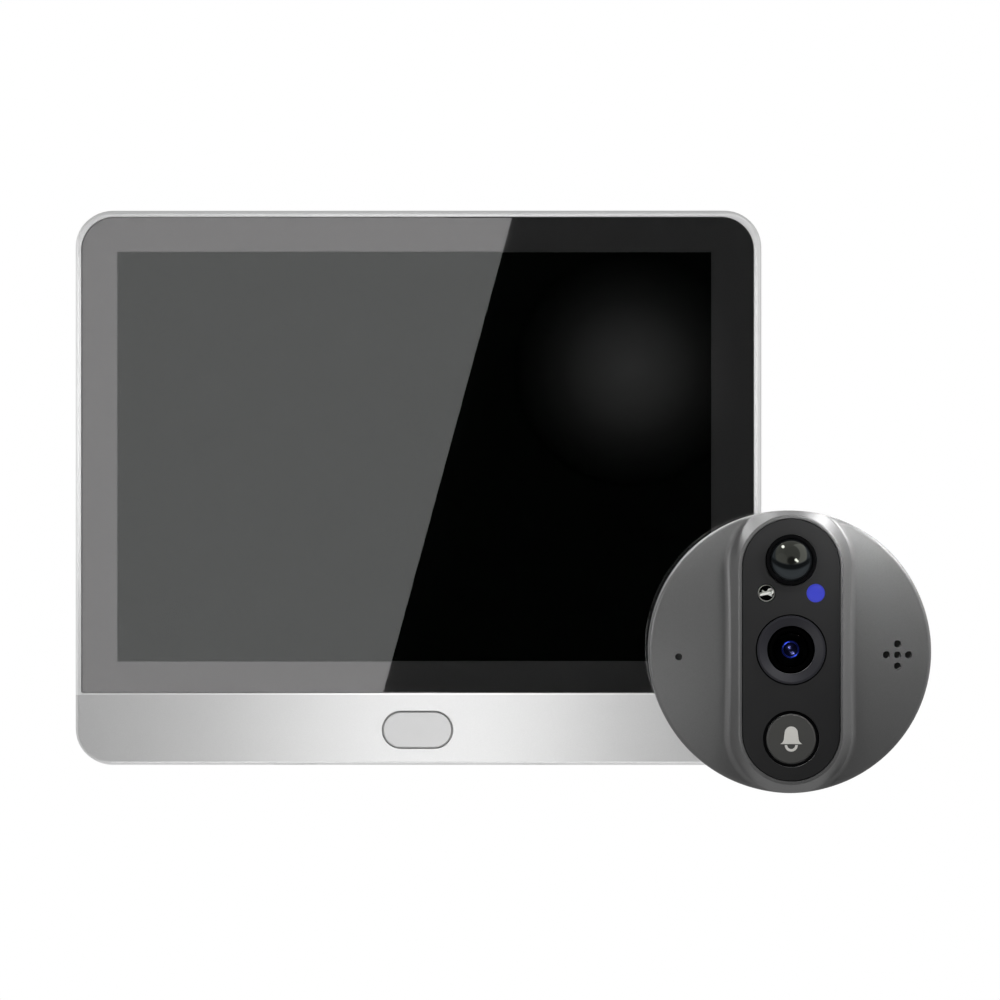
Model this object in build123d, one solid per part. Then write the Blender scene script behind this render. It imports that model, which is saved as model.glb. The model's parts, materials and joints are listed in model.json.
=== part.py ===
from build123d import *
import os
from math import atan2, degrees

# Peephole door camera: an indoor monitor on its wall bracket, and the outdoor camera unit.
# Millimetres. The origin is the middle of the bracket's screw pattern, on the door's inner face.
# +X is to the right for a person who looks at the screen, +Z is up, and -Y points at that person.
# Distances in front of the door are written as positive numbers and lie along -Y.

# Shared clearances and the overrun of cuts
overrun = 1.0
seat_gap = 0.3
slip = 0.1
running_gap = 0.08
fit_gap = 0.05

# Wall bracket
bracket_side_margin = 20.4
bracket_end_margin = 21.9
bracket_thickness = 1.5
bracket_corner = 5.0
bracket_screw_inset_x = 20.0
bracket_screw_inset_z = 8.0
bracket_screw_radius = 2.1
countersink_radius = 3.3
countersink_depth = 0.8
cable_hole_width = 14.0
cable_hole_height = 7.0
cable_hole_offset = 9.9
clamp_slot_width = 3.4
clamp_slot_length = 9.0
clamp_slot_offset = 7.5
hook_width = 9.0
hook_lip_height = 5.0
hook_lip_thickness = 1.2
hook_inset = 10.0
upper_hook_inset = 19.0
lower_hook_inset = 7.0
hook_window_side_gap = 0.5
hook_window_height = 9.5
lift_range = 6.0

# Monitor outline, at the seam, where it is widest
monitor_width = 140.8
monitor_height = 113.8
monitor_corner = 7.6
monitor_drop = 3.5
side_draft = 0.7
door_gap = 0.5
rear_cover_depth = 8.0
front_shell_depth = 8.5
shell_wall = 1.8
chin_wall = 2.0
ledge_thickness = 2.0
front_edge_fillet = 0.6
back_edge_fillet = 2.4
seam_step = 0.3

# Display stack
glass_side_margin = 1.15
glass_top_margin = 1.0
chin_height = 15.1
glass_corner = 6.7
glass_bottom_corner = 0.4
glass_thickness = 1.1
glass_sink = 0.1
display_gasket_thickness = 0.3
window_left_margin = 7.2
window_right_margin = 8.5
window_top_margin = 7.0
window_bottom_margin = 6.3
lcd_border = 1.5
lcd_thickness = 1.2
backlight_border = 0.8
backlight_thickness = 2.0
backlight_room = 0.4
backlight_corner = 1.0

# Home button and the small board behind the chin
home_button_width = 14.6
home_button_height = 7.8
home_button_groove = 0.3
home_button_proud = 0.15
home_button_edge = 0.25
home_button_flange = 1.1
home_button_flange_thickness = 0.8
home_button_stem_radius = 1.5
home_button_travel = 0.5
key_board_width = 74.0
key_board_height = 9.4
key_board_thickness = 1.0
key_board_peg_radius = 1.0
key_board_peg_spacing = 32.0
home_switch_size = 5.2
home_switch_body_height = 1.0
home_switch_plunger_radius = 1.0
home_switch_plunger_height = 0.4

# Charging port, power switch and microphone on the lower edge
charging_port_x = -25.0
charging_port_width = 9.0
charging_port_height = 3.2
charging_port_length = 7.3
charging_port_wall = 0.35
charging_port_tongue_width = 6.6
charging_port_tongue_thickness = 0.7
charging_port_recess = 0.3
power_switch_x = 25.0
power_switch_width = 8.6
power_switch_length = 4.0
power_switch_height = 2.8
power_switch_groove_depth = 1.0
knob_width = 2.0
knob_thickness = 1.4
knob_travel = 2.0
knob_scoop_width = 7.6
knob_scoop_height = 3.0
knob_scoop_depth = 0.8
microphone_x = -33.5
microphone_radius = 1.5
microphone_height = 2.2
microphone_hole_radius = 0.6

# Electronics inside the monitor
board_overhang = 1.0
board_thickness = 1.2
board_corner = 2.0
boss_height = 5.6
boss_radius = 2.3
boss_inset = 3.4
pilot_radius = 0.9
board_screw_length = 4.0
board_screw_head_radius = 1.8
board_screw_head_height = 0.9
battery_side_gap = 2.5
battery_bottom_gap = 8.6
battery_top_gap = 1.3
battery_thickness = 4.6
battery_corner = 1.5
well_width = 26.0
well_height = 37.0
well_x = 7.0
well_z = 2.0
well_rim = 1.2
well_corner = 2.0
cable_socket_width = 8.0
cable_socket_height = 5.0
cable_socket_depth = 3.5
cable_socket_shift = 5.0
cable_socket_inset = 5.5
cable_socket_wall = 0.6
processor_size = 12.0
memory_width = 8.0
memory_height = 10.0
radio_width = 14.0
radio_height = 11.0
chip_thickness = 0.9
chip_row_inset = 9.0
chip_row_spacing = 18.0
antenna_length = 40.0
antenna_width = 4.0
antenna_thickness = 0.4
antenna_x = 5.0
monitor_speaker_width = 12.0
monitor_speaker_height = 30.0
monitor_speaker_thickness = 4.0
monitor_speaker_corner = 3.0
monitor_speaker_inset = 10.2
monitor_speaker_z = -4.0
sound_slot_count = 5
sound_slot_width = 1.2
sound_slot_length = 9.0
sound_slot_pitch = 3.0

# Rear cover details
pocket_slip = 0.5
pocket_floor = 2.0
cover_screw_inset_x = 8.4
cover_screw_inset_z = 7.2
cover_screw_radius = 0.9
cover_screw_bite = 4.0
cover_screw_head_radius = 1.8
cover_screw_head_height = 1.2
cover_screw_sink = 0.6
cover_screw_column_radius = 3.2
tongue_width = 10.0
tongue_inset = 30.4
tongue_thickness = 1.2
tongue_reach = 2.0
tongue_root = 4.0
pad_radius = 5.0
pad_thickness = 0.4
pad_inset_x = 13.0
pad_inset_z = 12.0

# Where the camera unit lies in front of the monitor
unit_overhang = 4.6
unit_rise = 24.05
arrangement_gap = 0.3

# Camera unit: casing
unit_radius = 28.25
rim_height = 14.0
dome_rise = 1.9
unit_wall = 1.8
face_wall = 2.0
rim_fillet = 0.8
ridge_rise = 5.5
ridge_up = 0.5
ridge_lip = 0.6
ridge_foot = 2.3
ridge_lip_fillet = 0.4
ridge_foot_fillet = 1.4
panel_end_margin = 2.1
panel_half_width = 9.75
panel_thickness = 1.5
panel_sink = 0.2
panel_ledge = 1.2
microphone_port_inset = 5.95
microphone_port_z = -1.0
microphone_port_radius = 0.7
speaker_port_inset = 6.85
speaker_port_z = -0.6
speaker_port_pitch = 2.22
speaker_port_radius = 0.71

# Camera unit: back plate, spigot and what fastens it to a door
spigot_radius = 7.0
spigot_length = 8.0
cable_bore_radius = 2.4
insert_radius = 1.9
insert_thread_radius = 1.25
insert_length = 6.0
insert_offset = 4.7
back_plate_thickness = 2.0
door_seal_thickness = 1.5
door_seal_proud = 0.6
door_seal_width = 5.0
grommet_length = 4.0
grommet_hole_radius = 1.2
plate_screw_offset = 12.0
plate_screw_radius = 0.9
plate_screw_length = 5.0
plate_screw_head_radius = 1.8
plate_screw_head_height = 1.0
plate_boss_radius = 2.2
plate_boss_shoulder_radius = 3.0

# Camera unit: board and what stands on it
unit_board_gap = 1.25
unit_board_height = 6.5
unit_board_thickness = 1.2
unit_board_screw_inset = 6.2
unit_board_screw_z = 11.0
unit_board_screw_radius = 0.7
unit_board_screw_length = 3.0
unit_board_screw_head_radius = 1.4
unit_board_screw_head_height = 0.8
unit_board_boss_radius = 1.9
unit_speaker_radius = 5.5
unit_speaker_height = 3.2
unit_speaker_gap = 0.65
unit_microphone_radius = 2.0
unit_microphone_height = 1.6
cable_header_width = 8.0
cable_header_height = 4.0
cable_header_depth = 2.6
cable_header_z = 9.0

# Camera unit: lens
lens_ring_radius = 6.8
lens_opening_radius = 4.8
lens_ring_proud = 0.1
lens_ring_slope_width = 1.6
lens_ring_slope = 0.45
lens_ring_flange = 0.8
lens_ring_flange_thickness = 0.8
lens_barrel_radius = 4.3
lens_barrel_recess = 1.2
lens_barrel_length = 7.2
front_lens_radius = 3.6
front_lens_edge = 0.7
front_lens_bulge = 0.7
front_lens_seat = 0.35
baffle_length = 1.8
rear_lens_radius = 1.85
rear_lens_edge = 0.9
rear_lens_bulge = 0.6
aperture_radius = 1.2
lens_holder_size = 12.0
lens_holder_corner = 1.0
lens_holder_height = 5.6
lens_holder_cavity = 8.4
lens_holder_cavity_depth = 1.8
sensor_width = 7.0
sensor_height = 5.5
sensor_thickness = 0.9

# Camera unit: motion sensor, light sensor and lamps
pir_inset = 8.25
pir_bezel_radius = 5.0
pir_bezel_wall = 0.7
pir_bezel_proud = 0.4
pir_bezel_flange = 0.8
pir_bezel_flange_thickness = 0.8
pir_bezel_step = 0.6
pir_dome_bulge = 2.4
pir_dome_wall = 0.8
pir_dome_skirt = 1.2
pir_can_radius = 2.8
pir_can_height = 4.2
pir_can_rim = 0.5
pir_can_rim_height = 0.6
pir_can_window = 3.0
pir_can_window_depth = 0.3
pir_leg_radius = 0.25
pir_leg_circle = 1.4
pir_leg_count = 3
lamp_x = 4.9
lamp_drop = 6.6
lamp_radius = 1.8
lamp_flange = 0.5
lamp_flange_thickness = 0.8
lamp_bulge = 0.35
lamp_leg_radius = 0.3
lamp_leg_spacing = 1.8
infrared_x = 6.4
infrared_rise = 8.55
infrared_radius = 1.5
infrared_length = 3.4
infrared_bulge = 0.9

# Camera unit: bell button
bell_inset = 8.4
bell_hole_radius = 5.65
bell_face_radius = 4.95
bell_face_sink = 0.1
bell_edge = 0.3
bell_flange = 0.9
bell_flange_thickness = 0.8
bell_stem_radius = 1.5
bell_travel = 0.5
bell_switch_size = 6.0
bell_switch_body_height = 3.4
bell_switch_plunger_radius = 1.5
bell_switch_plunger_height = 1.2
bell_icon_width = 4.4
bell_icon_height = 3.5
bell_icon_depth = 0.25
bell_clapper_radius = 1.3
bell_clapper_thickness = 0.5
bell_clapper_gap = 0.2

# Where an edge is sampled to find out which surface it lies on, as shares of its length
edge_sample_shares = (0.2, 0.5, 0.8)

# How close a sampled point has to lie to a surface
match = 0.001

# The bell's outline, as shares of its width and its height: brim, waist, shoulder and crown
brim_shares = (0.5, 0)
flare_shares = (0.37, 0.15)
waist_shares = (0.33, 0.34)
shoulder_shares = (0.3, 0.62)
crown_shares = (0, 1)

# Planes of the monitor, as distances from the door
cover_back = door_gap
split = cover_back + rear_cover_depth
monitor_front = split + front_shell_depth
glass_front = monitor_front - glass_sink
glass_back = glass_front - glass_thickness
gasket_back = glass_back - display_gasket_thickness
lcd_back = gasket_back - lcd_thickness
backlight_back = lcd_back - backlight_thickness
ledge_back = gasket_back - ledge_thickness
chin_back = monitor_front - chin_wall
pocket_face = bracket_thickness + seat_gap
pocket_inside = pocket_face + pocket_floor
board_back = pocket_inside + boss_height
board_front = board_back + board_thickness
key_board_front = chin_back - charging_port_height
key_board_back = key_board_front - key_board_thickness
charging_port_distance = (key_board_front + chin_back) / 2
knob_distance = key_board_front + power_switch_height / 2
microphone_distance = key_board_front + fit_gap + microphone_radius

# Places on the monitor's face
monitor_top = monitor_height / 2 - monitor_drop
monitor_bottom = monitor_top - monitor_height
monitor_z = (monitor_top + monitor_bottom) / 2
glass_width = monitor_width - 2 * (side_draft + glass_side_margin)
glass_top = monitor_top - side_draft - glass_top_margin
glass_bottom = monitor_bottom + chin_height
glass_height = glass_top - glass_bottom
window_width = glass_width - window_left_margin - window_right_margin
window_height = glass_height - window_top_margin - window_bottom_margin
window_x = window_left_margin + window_width / 2 - glass_width / 2
window_z = glass_top - window_top_margin - window_height / 2
lcd_width = window_width + 2 * lcd_border
lcd_height = window_height + 2 * lcd_border
backlight_width = lcd_width + 2 * backlight_border
backlight_height = lcd_height + 2 * backlight_border
chin_z = (glass_bottom + monitor_bottom) / 2
inner_bottom = monitor_bottom + shell_wall
key_board_z = inner_bottom + slip + key_board_height / 2
cover_screw_x = monitor_width / 2 - cover_screw_inset_x
cover_screw_z = monitor_bottom + cover_screw_inset_z
tongue_x = monitor_width / 2 - tongue_inset
monitor_speaker_x = monitor_width / 2 - monitor_speaker_inset

# The bracket is set back from the monitor's outline.
# Each hook's arm carries the top edge of a window in the rear cover.
bracket_width = monitor_width - 2 * bracket_side_margin
bracket_height = monitor_height - 2 * bracket_end_margin
bracket_screw_x = bracket_width / 2 - bracket_screw_inset_x
bracket_screw_z = bracket_height / 2 - bracket_screw_inset_z
hook_x = bracket_width / 2 - hook_inset
upper_hook_z = bracket_height / 2 - upper_hook_inset
lower_hook_z = lower_hook_inset - bracket_height / 2
hook_depth = pocket_inside + seat_gap + hook_lip_thickness
pocket_width = bracket_width + 2 * pocket_slip
pocket_height = bracket_height + lift_range + 2 * pocket_slip
pocket_z = -lift_range / 2
hook_places = [(side * hook_x, z) for side in (-1, 1) for z in (upper_hook_z, lower_hook_z)]

# The board behind the display, and the battery between the hooks and below the cable well
board_width = bracket_width + 2 * board_overhang
board_height = bracket_height + 2 * board_overhang
chip_row_z = board_height / 2 - chip_row_inset
cable_socket_x = well_x + cable_socket_shift
cable_socket_z = well_z + well_height / 2 - cable_socket_inset
battery_width = 2 * (hook_x - battery_side_gap) - hook_width
battery_top = well_z - well_height / 2 - well_rim - battery_top_gap
battery_bottom = inner_bottom + battery_bottom_gap
battery_height = battery_top - battery_bottom
battery_z = (battery_top + battery_bottom) / 2

# The camera unit's axis, and its places
unit_x = monitor_width / 2 + unit_overhang
unit_z = monitor_bottom + unit_rise
panel_half_height = unit_radius - panel_end_margin
pir_z = panel_half_height - pir_inset
lamp_z = pir_z - lamp_drop
bell_z = bell_inset - panel_half_height
infrared_z = bell_z + infrared_rise
microphone_port_x = microphone_port_inset - unit_radius
speaker_port_x = unit_radius - speaker_port_inset

# Planes of the camera unit, as distances from the door
unit_back = monitor_front + arrangement_gap + spigot_length
plate_back = unit_back + door_seal_thickness
plate_front = plate_back + back_plate_thickness
casing_back = unit_back + door_seal_proud
rim_front = unit_back + rim_height
ridge_front = rim_front + ridge_rise
cavity_front = rim_front - face_wall
cavity_radius = unit_radius - unit_wall
unit_board_radius = cavity_radius - unit_board_gap
unit_board_screw_x = unit_board_radius - unit_board_screw_inset
unit_speaker_x = cavity_radius - unit_speaker_radius - unit_speaker_gap
panel_front = ridge_front - panel_sink
panel_back = panel_front - panel_thickness
unit_board_back = unit_back + unit_board_height
unit_board_front = unit_board_back + unit_board_thickness
spigot_back = unit_back - spigot_length
panel_z = unit_z + ridge_up
barrel_front = panel_front - lens_barrel_recess
front_lens_back = barrel_front - front_lens_edge - front_lens_bulge / 2
baffle_back = front_lens_back - baffle_length
rear_lens_back = baffle_back - rear_lens_edge - rear_lens_bulge
bell_face_front = panel_front - bell_face_sink
ridge_half_width = panel_half_width + slip + ridge_lip
ridge_half_height = panel_half_height + slip + ridge_lip
plate_screw_places = [(sx * plate_screw_offset, sz * plate_screw_offset) for sx in (-1, 1) for sz in (-1, 1)]
unit_board_screw_places = [(side * unit_board_screw_x, -side * unit_board_screw_z) for side in (-1, 1)]
insert_places = [(0, side * insert_offset) for side in (-1, 1)]


def facing(x, z, distance):
    """A plane parallel to the door, seen by a person who looks at the screen."""
    return Plane(origin=(x, -distance, z), x_dir=(1, 0, 0), z_dir=(0, -1, 0))


def prism(outline, x, z, back, front, taper=0):
    """The outline, drawn at (x, z), filled from the distance back to the distance front."""
    return extrude(facing(x, z, back) * outline, front - back, taper=taper)


def block(width, height, x, z, back, front):
    """A plain block whose width lies along X and whose height lies along Z."""
    return prism(Rectangle(width, height), x, z, back, front)


def disc(radius, x, z, back, front):
    """A round solid whose axis runs from the door towards the viewer."""
    return prism(Circle(radius), x, z, back, front)


def tube(radius, bore, x, z, back, front):
    """A ring with a round bore."""
    return prism(Circle(radius) - Circle(bore), x, z, back, front)


def cone(back_radius, front_radius, x, z, back, front):
    """A frustum whose radius changes from back to front."""
    return Solid.make_cone(back_radius, front_radius, front - back, facing(x, z, back))


def cap(radius, bulge, x, z, base):
    """The part of a ball that stands on a circle of the given radius and rises by bulge."""
    ball_radius = (radius * radius + bulge * bulge) / (2 * bulge)
    ball = Pos(x, ball_radius - bulge - base, z) * Sphere(ball_radius)
    return ball & disc(radius, x, z, base, base + bulge + overrun)


def stadium(length, width, upright=False):
    """A slot outline, given its full length and width."""
    return SlotOverall(length, width, rotation=90 if upright else 0)


def screw(x, z, shank_radius, shank_length, head_radius, head_height, seat, towards_door):
    """A pan head screw. Its head sits on the plane seat and its shank runs the other way."""
    shank = disc(shank_radius, x, z, seat - (0 if towards_door else shank_length),
                 seat + (shank_length if towards_door else 0))
    head = disc(head_radius, x, z, seat - (head_height if towards_door else 0),
                seat + (0 if towards_door else head_height))
    outer = head.faces().sort_by(Axis.Y)[-1 if towards_door else 0]
    head = fillet(outer.edges(), head_height / 3)
    recess = RegularPolygon(head_radius / 2, 6)
    depth = head_height / 2
    if towards_door:
        cut = prism(recess, x, z, seat - head_height - overrun, seat - head_height + depth)
    else:
        cut = prism(recess, x, z, seat + head_height - depth, seat + head_height + overrun)
    return head + shank - cut


# Wall bracket

def mounting_bracket():
    """Pressed steel plate with countersunk screw holes, clamp slots, a cable hole and four hooks."""
    plate = prism(RectangleRounded(bracket_width, bracket_height, bracket_corner), 0, 0, 0, bracket_thickness)
    for sx in (-1, 1):
        for sz in (-1, 1):
            x = sx * bracket_screw_x
            z = sz * bracket_screw_z
            plate -= disc(bracket_screw_radius, x, z, -overrun, bracket_thickness + overrun)
            plate -= cone(bracket_screw_radius, countersink_radius, x, z,
                          bracket_thickness - countersink_depth, bracket_thickness)
    cable_hole = stadium(cable_hole_width, cable_hole_height)
    plate -= prism(cable_hole, cable_hole_offset, 0, -overrun, bracket_thickness + overrun)
    for side in (-1, 1):
        clamp_slot = stadium(clamp_slot_length, clamp_slot_width, upright=True)
        plate -= prism(clamp_slot, 0, side * clamp_slot_offset, -overrun, bracket_thickness + overrun)
    for x, z in hook_places:
        width = hook_width + 2 * hook_window_side_gap
        middle = z + hook_window_height / 2
        plate -= block(width, hook_window_height, x, middle, -overrun, bracket_thickness + overrun)
    for x, z in hook_places:
        plate += hook(x, z)
    return plate


def hook(x, z):
    """One lanced hook: an arm that leaves the plate, and a lip that points up. z is the arm's top."""
    arm_top = z
    arm_middle = arm_top - bracket_thickness / 2
    arm = block(hook_width, bracket_thickness, x, arm_middle, 0, hook_depth)
    lip_height = bracket_thickness + hook_lip_height
    lip_back = hook_depth - hook_lip_thickness
    lip_middle = arm_top + hook_lip_height - lip_height / 2
    lip = block(hook_width, lip_height, x, lip_middle, lip_back, hook_depth)
    bent = arm + lip
    lower_front = bent.edges().filter_by(Axis.X).sort_by(lambda e: e.center().Y + e.center().Z)[0]
    bent = fillet(lower_front, hook_lip_thickness)
    crown = bent.faces().sort_by(Axis.Z)[-1]
    return fillet(crown.edges().filter_by(Axis.Y), hook_lip_thickness)


# Monitor casing

def monitor_outline(inset=0):
    """The monitor's rounded outline, drawn in by inset on every side."""
    width = monitor_width - 2 * inset
    height = monitor_height - 2 * inset
    return RectangleRounded(width, height, monitor_corner - inset)


def glass_outline(grow=0):
    """The glass: round upper corners and almost square lower ones."""
    outline = Rectangle(glass_width + 2 * grow, glass_height + 2 * grow)
    upper = outline.vertices().sort_by(Axis.Y)[2:]
    outline = fillet(upper, glass_corner + grow)
    lower = outline.vertices().sort_by(Axis.Y)[:2]
    return fillet(lower, glass_bottom_corner)


def glass_middle():
    """The height of the middle of the glass."""
    return (glass_top + glass_bottom) / 2


def front_shell():
    """Silver front casing: a thin rim round the glass, the chin, a ledge and an open back."""
    draft_angle = degrees(atan2(side_draft, front_shell_depth))
    shell = prism(monitor_outline(), 0, monitor_z, split, monitor_front, taper=draft_angle)
    front = shell.faces().sort_by(Axis.Y)[0]
    shell = fillet(front.edges(), front_edge_fillet)
    shell -= prism(monitor_outline(shell_wall), 0, monitor_z, split - overrun, ledge_back)
    rib_bottom = glass_bottom - slip - shell_wall
    chin_room_height = rib_bottom - inner_bottom
    chin_room_width = monitor_width - 2 * monitor_corner
    chin_room_z = inner_bottom + chin_room_height / 2
    shell -= block(chin_room_width, chin_room_height, 0, chin_room_z, split, chin_back)
    shell -= prism(glass_outline(slip), 0, glass_middle(), gasket_back, monitor_front + overrun)
    opening_width = backlight_width + 2 * backlight_room
    opening_height = backlight_height + 2 * backlight_room
    opening = RectangleRounded(opening_width, opening_height, backlight_corner + backlight_room)
    shell -= prism(opening, window_x, window_z, split, gasket_back + overrun)
    button_hole = stadium(home_button_width, home_button_height)
    shell -= prism(button_hole, 0, chin_z, chin_back - overrun, monitor_front + overrun)
    for side in (-1, 1):
        peg_x = side * key_board_peg_spacing / 2
        shell += disc(key_board_peg_radius + shell_wall / 2, peg_x, key_board_z, key_board_front, chin_back)
        shell += disc(key_board_peg_radius, peg_x, key_board_z, key_board_back - slip, key_board_front)
    shell -= lower_edge_cuts()
    for side in (-1, 1):
        column_x = side * cover_screw_x
        hole_end = split + cover_screw_bite + seat_gap
        shell += disc(cover_screw_column_radius, column_x, cover_screw_z, split, chin_back)
        shell -= disc(cover_screw_radius + fit_gap, column_x, cover_screw_z, split - overrun, hole_end)
    return shell


def upward(x, distance, z):
    """A level plane that looks up, at the given distance from the door."""
    return Plane(origin=(x, -distance, z), x_dir=(1, 0, 0), z_dir=(0, 0, 1))


def lower_face(distance):
    """The height of the front shell's lower face, which slopes with the draft."""
    return monitor_bottom + side_draft * (distance - split) / front_shell_depth


def lower_edge(x, distance):
    """A plane on the monitor's lower face that looks up."""
    return upward(x, distance, lower_face(distance))


def through_lower_wall(outline, x, distance, depth=shell_wall + overrun):
    """The outline cut upwards into the lower wall, and past its outer face."""
    plane = lower_edge(x, distance)
    return extrude(plane * outline, depth) + extrude(plane * outline, -overrun)


def lower_edge_cuts():
    """Holes in the lower edge for the charging port, the power switch and the microphone."""
    port = stadium(charging_port_width + 2 * slip, charging_port_height + 2 * slip)
    cuts = through_lower_wall(port, charging_port_x, charging_port_distance)
    cuts += through_lower_wall(stadium(knob_scoop_width, knob_scoop_height), power_switch_x,
                               knob_distance, knob_scoop_depth)
    slot = Rectangle(knob_width + knob_travel + 2 * slip, knob_thickness + 2 * slip)
    cuts += through_lower_wall(slot, power_switch_x, knob_distance)
    cuts += through_lower_wall(Circle(microphone_hole_radius), microphone_x, microphone_distance)
    return cuts


def rear_cover():
    """Back casing with the pocket for the bracket, four hook windows and the cable well."""
    outline = monitor_outline(seam_step)
    cover = prism(outline, 0, monitor_z, cover_back, split)
    back = cover.faces().sort_by(Axis.Y)[-1]
    cover = fillet(back.edges(), back_edge_fillet)
    cover -= prism(monitor_outline(shell_wall), 0, monitor_z, cover_back + shell_wall, split + overrun)
    plateau_width = pocket_width + 2 * shell_wall
    plateau_height = pocket_height + 2 * shell_wall
    plateau = RectangleRounded(plateau_width, plateau_height, bracket_corner + shell_wall)
    cover += prism(plateau, 0, pocket_z, cover_back, pocket_inside)
    pocket = RectangleRounded(pocket_width, pocket_height, bracket_corner)
    cover -= prism(pocket, 0, pocket_z, cover_back - overrun, pocket_face)
    for x, z in board_screw_places():
        cover += disc(boss_radius, x, z, pocket_inside, board_back)
        cover -= disc(pilot_radius + fit_gap, x, z, pocket_inside, board_back + overrun)
    rim = RectangleRounded(well_width + 2 * well_rim, well_height + 2 * well_rim, well_corner + well_rim)
    cover += prism(rim, well_x, well_z, pocket_inside, board_back - seat_gap)
    well = RectangleRounded(well_width, well_height, well_corner)
    cover -= prism(well, well_x, well_z, cover_back - overrun, board_back)
    for x, z in hook_places:
        top = z + running_gap
        bottom = z - bracket_thickness - lift_range - seat_gap
        width = hook_width + 2 * hook_window_side_gap
        middle = (top + bottom) / 2
        cover -= block(width, top - bottom, x, middle, cover_back - overrun, pocket_inside + overrun)
    for index in range(sound_slot_count):
        z = monitor_speaker_z + (index - (sound_slot_count - 1) / 2) * sound_slot_pitch
        slot = stadium(sound_slot_length, sound_slot_width)
        cover -= prism(slot, monitor_speaker_x, z, cover_back - overrun, cover_back + shell_wall + overrun)
    for side in (-1, 1):
        cover += tongue(side * tongue_x)
        cover += cover_screw_column(side * cover_screw_x)
        cover -= cover_screw_hole(side * cover_screw_x)
    return cover


def tongue(x):
    """A tongue on the rear cover's upper wall, which reaches under the front shell's upper wall."""
    inner_top = monitor_top - shell_wall
    reach = block(tongue_width, tongue_thickness, x, inner_top - slip - tongue_thickness / 2,
                  split - tongue_root, split + tongue_reach)
    root = block(tongue_width, tongue_thickness, x, inner_top - tongue_thickness / 2,
                 split - tongue_root, split - slip)
    return reach + root


def cover_screw_column(x):
    """A column for a casing screw at the rear cover's lower corner."""
    return disc(cover_screw_column_radius, x, cover_screw_z, cover_back + shell_wall, split)


def cover_screw_hole(x):
    """The stepped hole of a casing screw: head room first, then the shank's hole."""
    seat = cover_back + cover_screw_sink + cover_screw_head_height
    head = disc(cover_screw_head_radius + slip, x, cover_screw_z, cover_back - overrun, seat)
    return head + disc(cover_screw_radius + slip, x, cover_screw_z, seat, split + overrun)


def rear_cover_screws():
    """Two screws that hold the rear cover to the front shell."""
    seat = cover_back + cover_screw_sink + cover_screw_head_height
    length = split - seat + cover_screw_bite
    return [screw(side * cover_screw_x, cover_screw_z, cover_screw_radius, length,
                  cover_screw_head_radius, cover_screw_head_height, seat, True) for side in (-1, 1)]


def rubber_pads():
    """Four soft pads on the rear cover's corners, which keep it from rattling on the door."""
    pads = []
    for sx in (-1, 1):
        for sz in (-1, 1):
            x = sx * (monitor_width / 2 - pad_inset_x)
            z = monitor_z + sz * (monitor_height / 2 - pad_inset_z)
            pads.append(disc(pad_radius, x, z, cover_back - pad_thickness, cover_back))
    return pads


# Display

def display_glass():
    """The clear front glass with its narrow ground edge."""
    glass = prism(glass_outline(), 0, glass_middle(), glass_back, glass_front)
    front = glass.faces().sort_by(Axis.Y)[0]
    return chamfer(front.edges(), slip)


def display_gasket():
    """The black frame that bonds the glass, and that hides the edges of the display."""
    window = Pos(window_x, window_z - glass_middle()) * Rectangle(window_width, window_height)
    return prism(glass_outline() - window, 0, glass_middle(), gasket_back, glass_back)


def lcd_panel():
    """The liquid crystal panel."""
    return block(lcd_width, lcd_height, window_x, window_z, lcd_back, gasket_back)


def backlight_unit():
    """The backlight in its thin metal tray."""
    outline = RectangleRounded(backlight_width, backlight_height, backlight_corner)
    return prism(outline, window_x, window_z, backlight_back, lcd_back)


# Electronics inside the monitor

def board_screw_places():
    """The middles of the main board's four screws."""
    x = board_width / 2 - boss_inset
    z = board_height / 2 - boss_inset
    return [(sx * x, sz * z) for sx in (-1, 1) for sz in (-1, 1)]


def main_board():
    """The main circuit board on the rear cover's four bosses."""
    outline = RectangleRounded(board_width, board_height, board_corner)
    board = prism(outline, 0, 0, board_back, board_front)
    for x, z in board_screw_places():
        board -= disc(pilot_radius + slip, x, z, board_back - overrun, board_front + overrun)
    return board


def board_screws():
    """Four screws that hold the main board on its bosses."""
    return [screw(x, z, pilot_radius, board_screw_length, board_screw_head_radius,
                  board_screw_head_height, board_front, False) for x, z in board_screw_places()]


def board_chips():
    """The processor, the memory and the radio module on the main board's front."""
    sizes = [(processor_size, processor_size), (memory_width, memory_height), (radio_width, radio_height)]
    chips = []
    for index, (width, height) in enumerate(sizes):
        x = (index - (len(sizes) - 1) / 2) * chip_row_spacing
        chips.append(block(width, height, x, chip_row_z, board_front, board_front + chip_thickness))
    return chips


def cable_socket():
    """The socket at the head of the cable well, into which the camera's lead plugs."""
    front = board_back
    back = board_back - cable_socket_depth
    shell = block(cable_socket_width, cable_socket_height, cable_socket_x, cable_socket_z, back, front)
    inner_width = cable_socket_width - 2 * cable_socket_wall
    inner_height = cable_socket_height - 2 * cable_socket_wall
    floor = front - cable_socket_wall
    return shell - block(inner_width, inner_height, cable_socket_x, cable_socket_z, back - overrun, floor)


def battery_pack():
    """The flat rechargeable pouch on the inside of the bracket pocket."""
    outline = RectangleRounded(battery_width, battery_height, battery_corner)
    return prism(outline, 0, battery_z, pocket_inside, pocket_inside + battery_thickness)


def monitor_speaker():
    """The monitor's flat speaker behind its sound slots."""
    outline = RectangleRounded(monitor_speaker_width, monitor_speaker_height, monitor_speaker_corner)
    back = cover_back + shell_wall
    return prism(outline, monitor_speaker_x, monitor_speaker_z, back, back + monitor_speaker_thickness)


def wifi_antenna():
    """A thin antenna strip on the inside of the upper wall."""
    top = monitor_top - shell_wall
    back = split + slip
    middle = top - antenna_thickness / 2
    return block(antenna_length, antenna_thickness, antenna_x, middle, back, back + antenna_width)


# Home button, and the small board behind the chin

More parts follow.
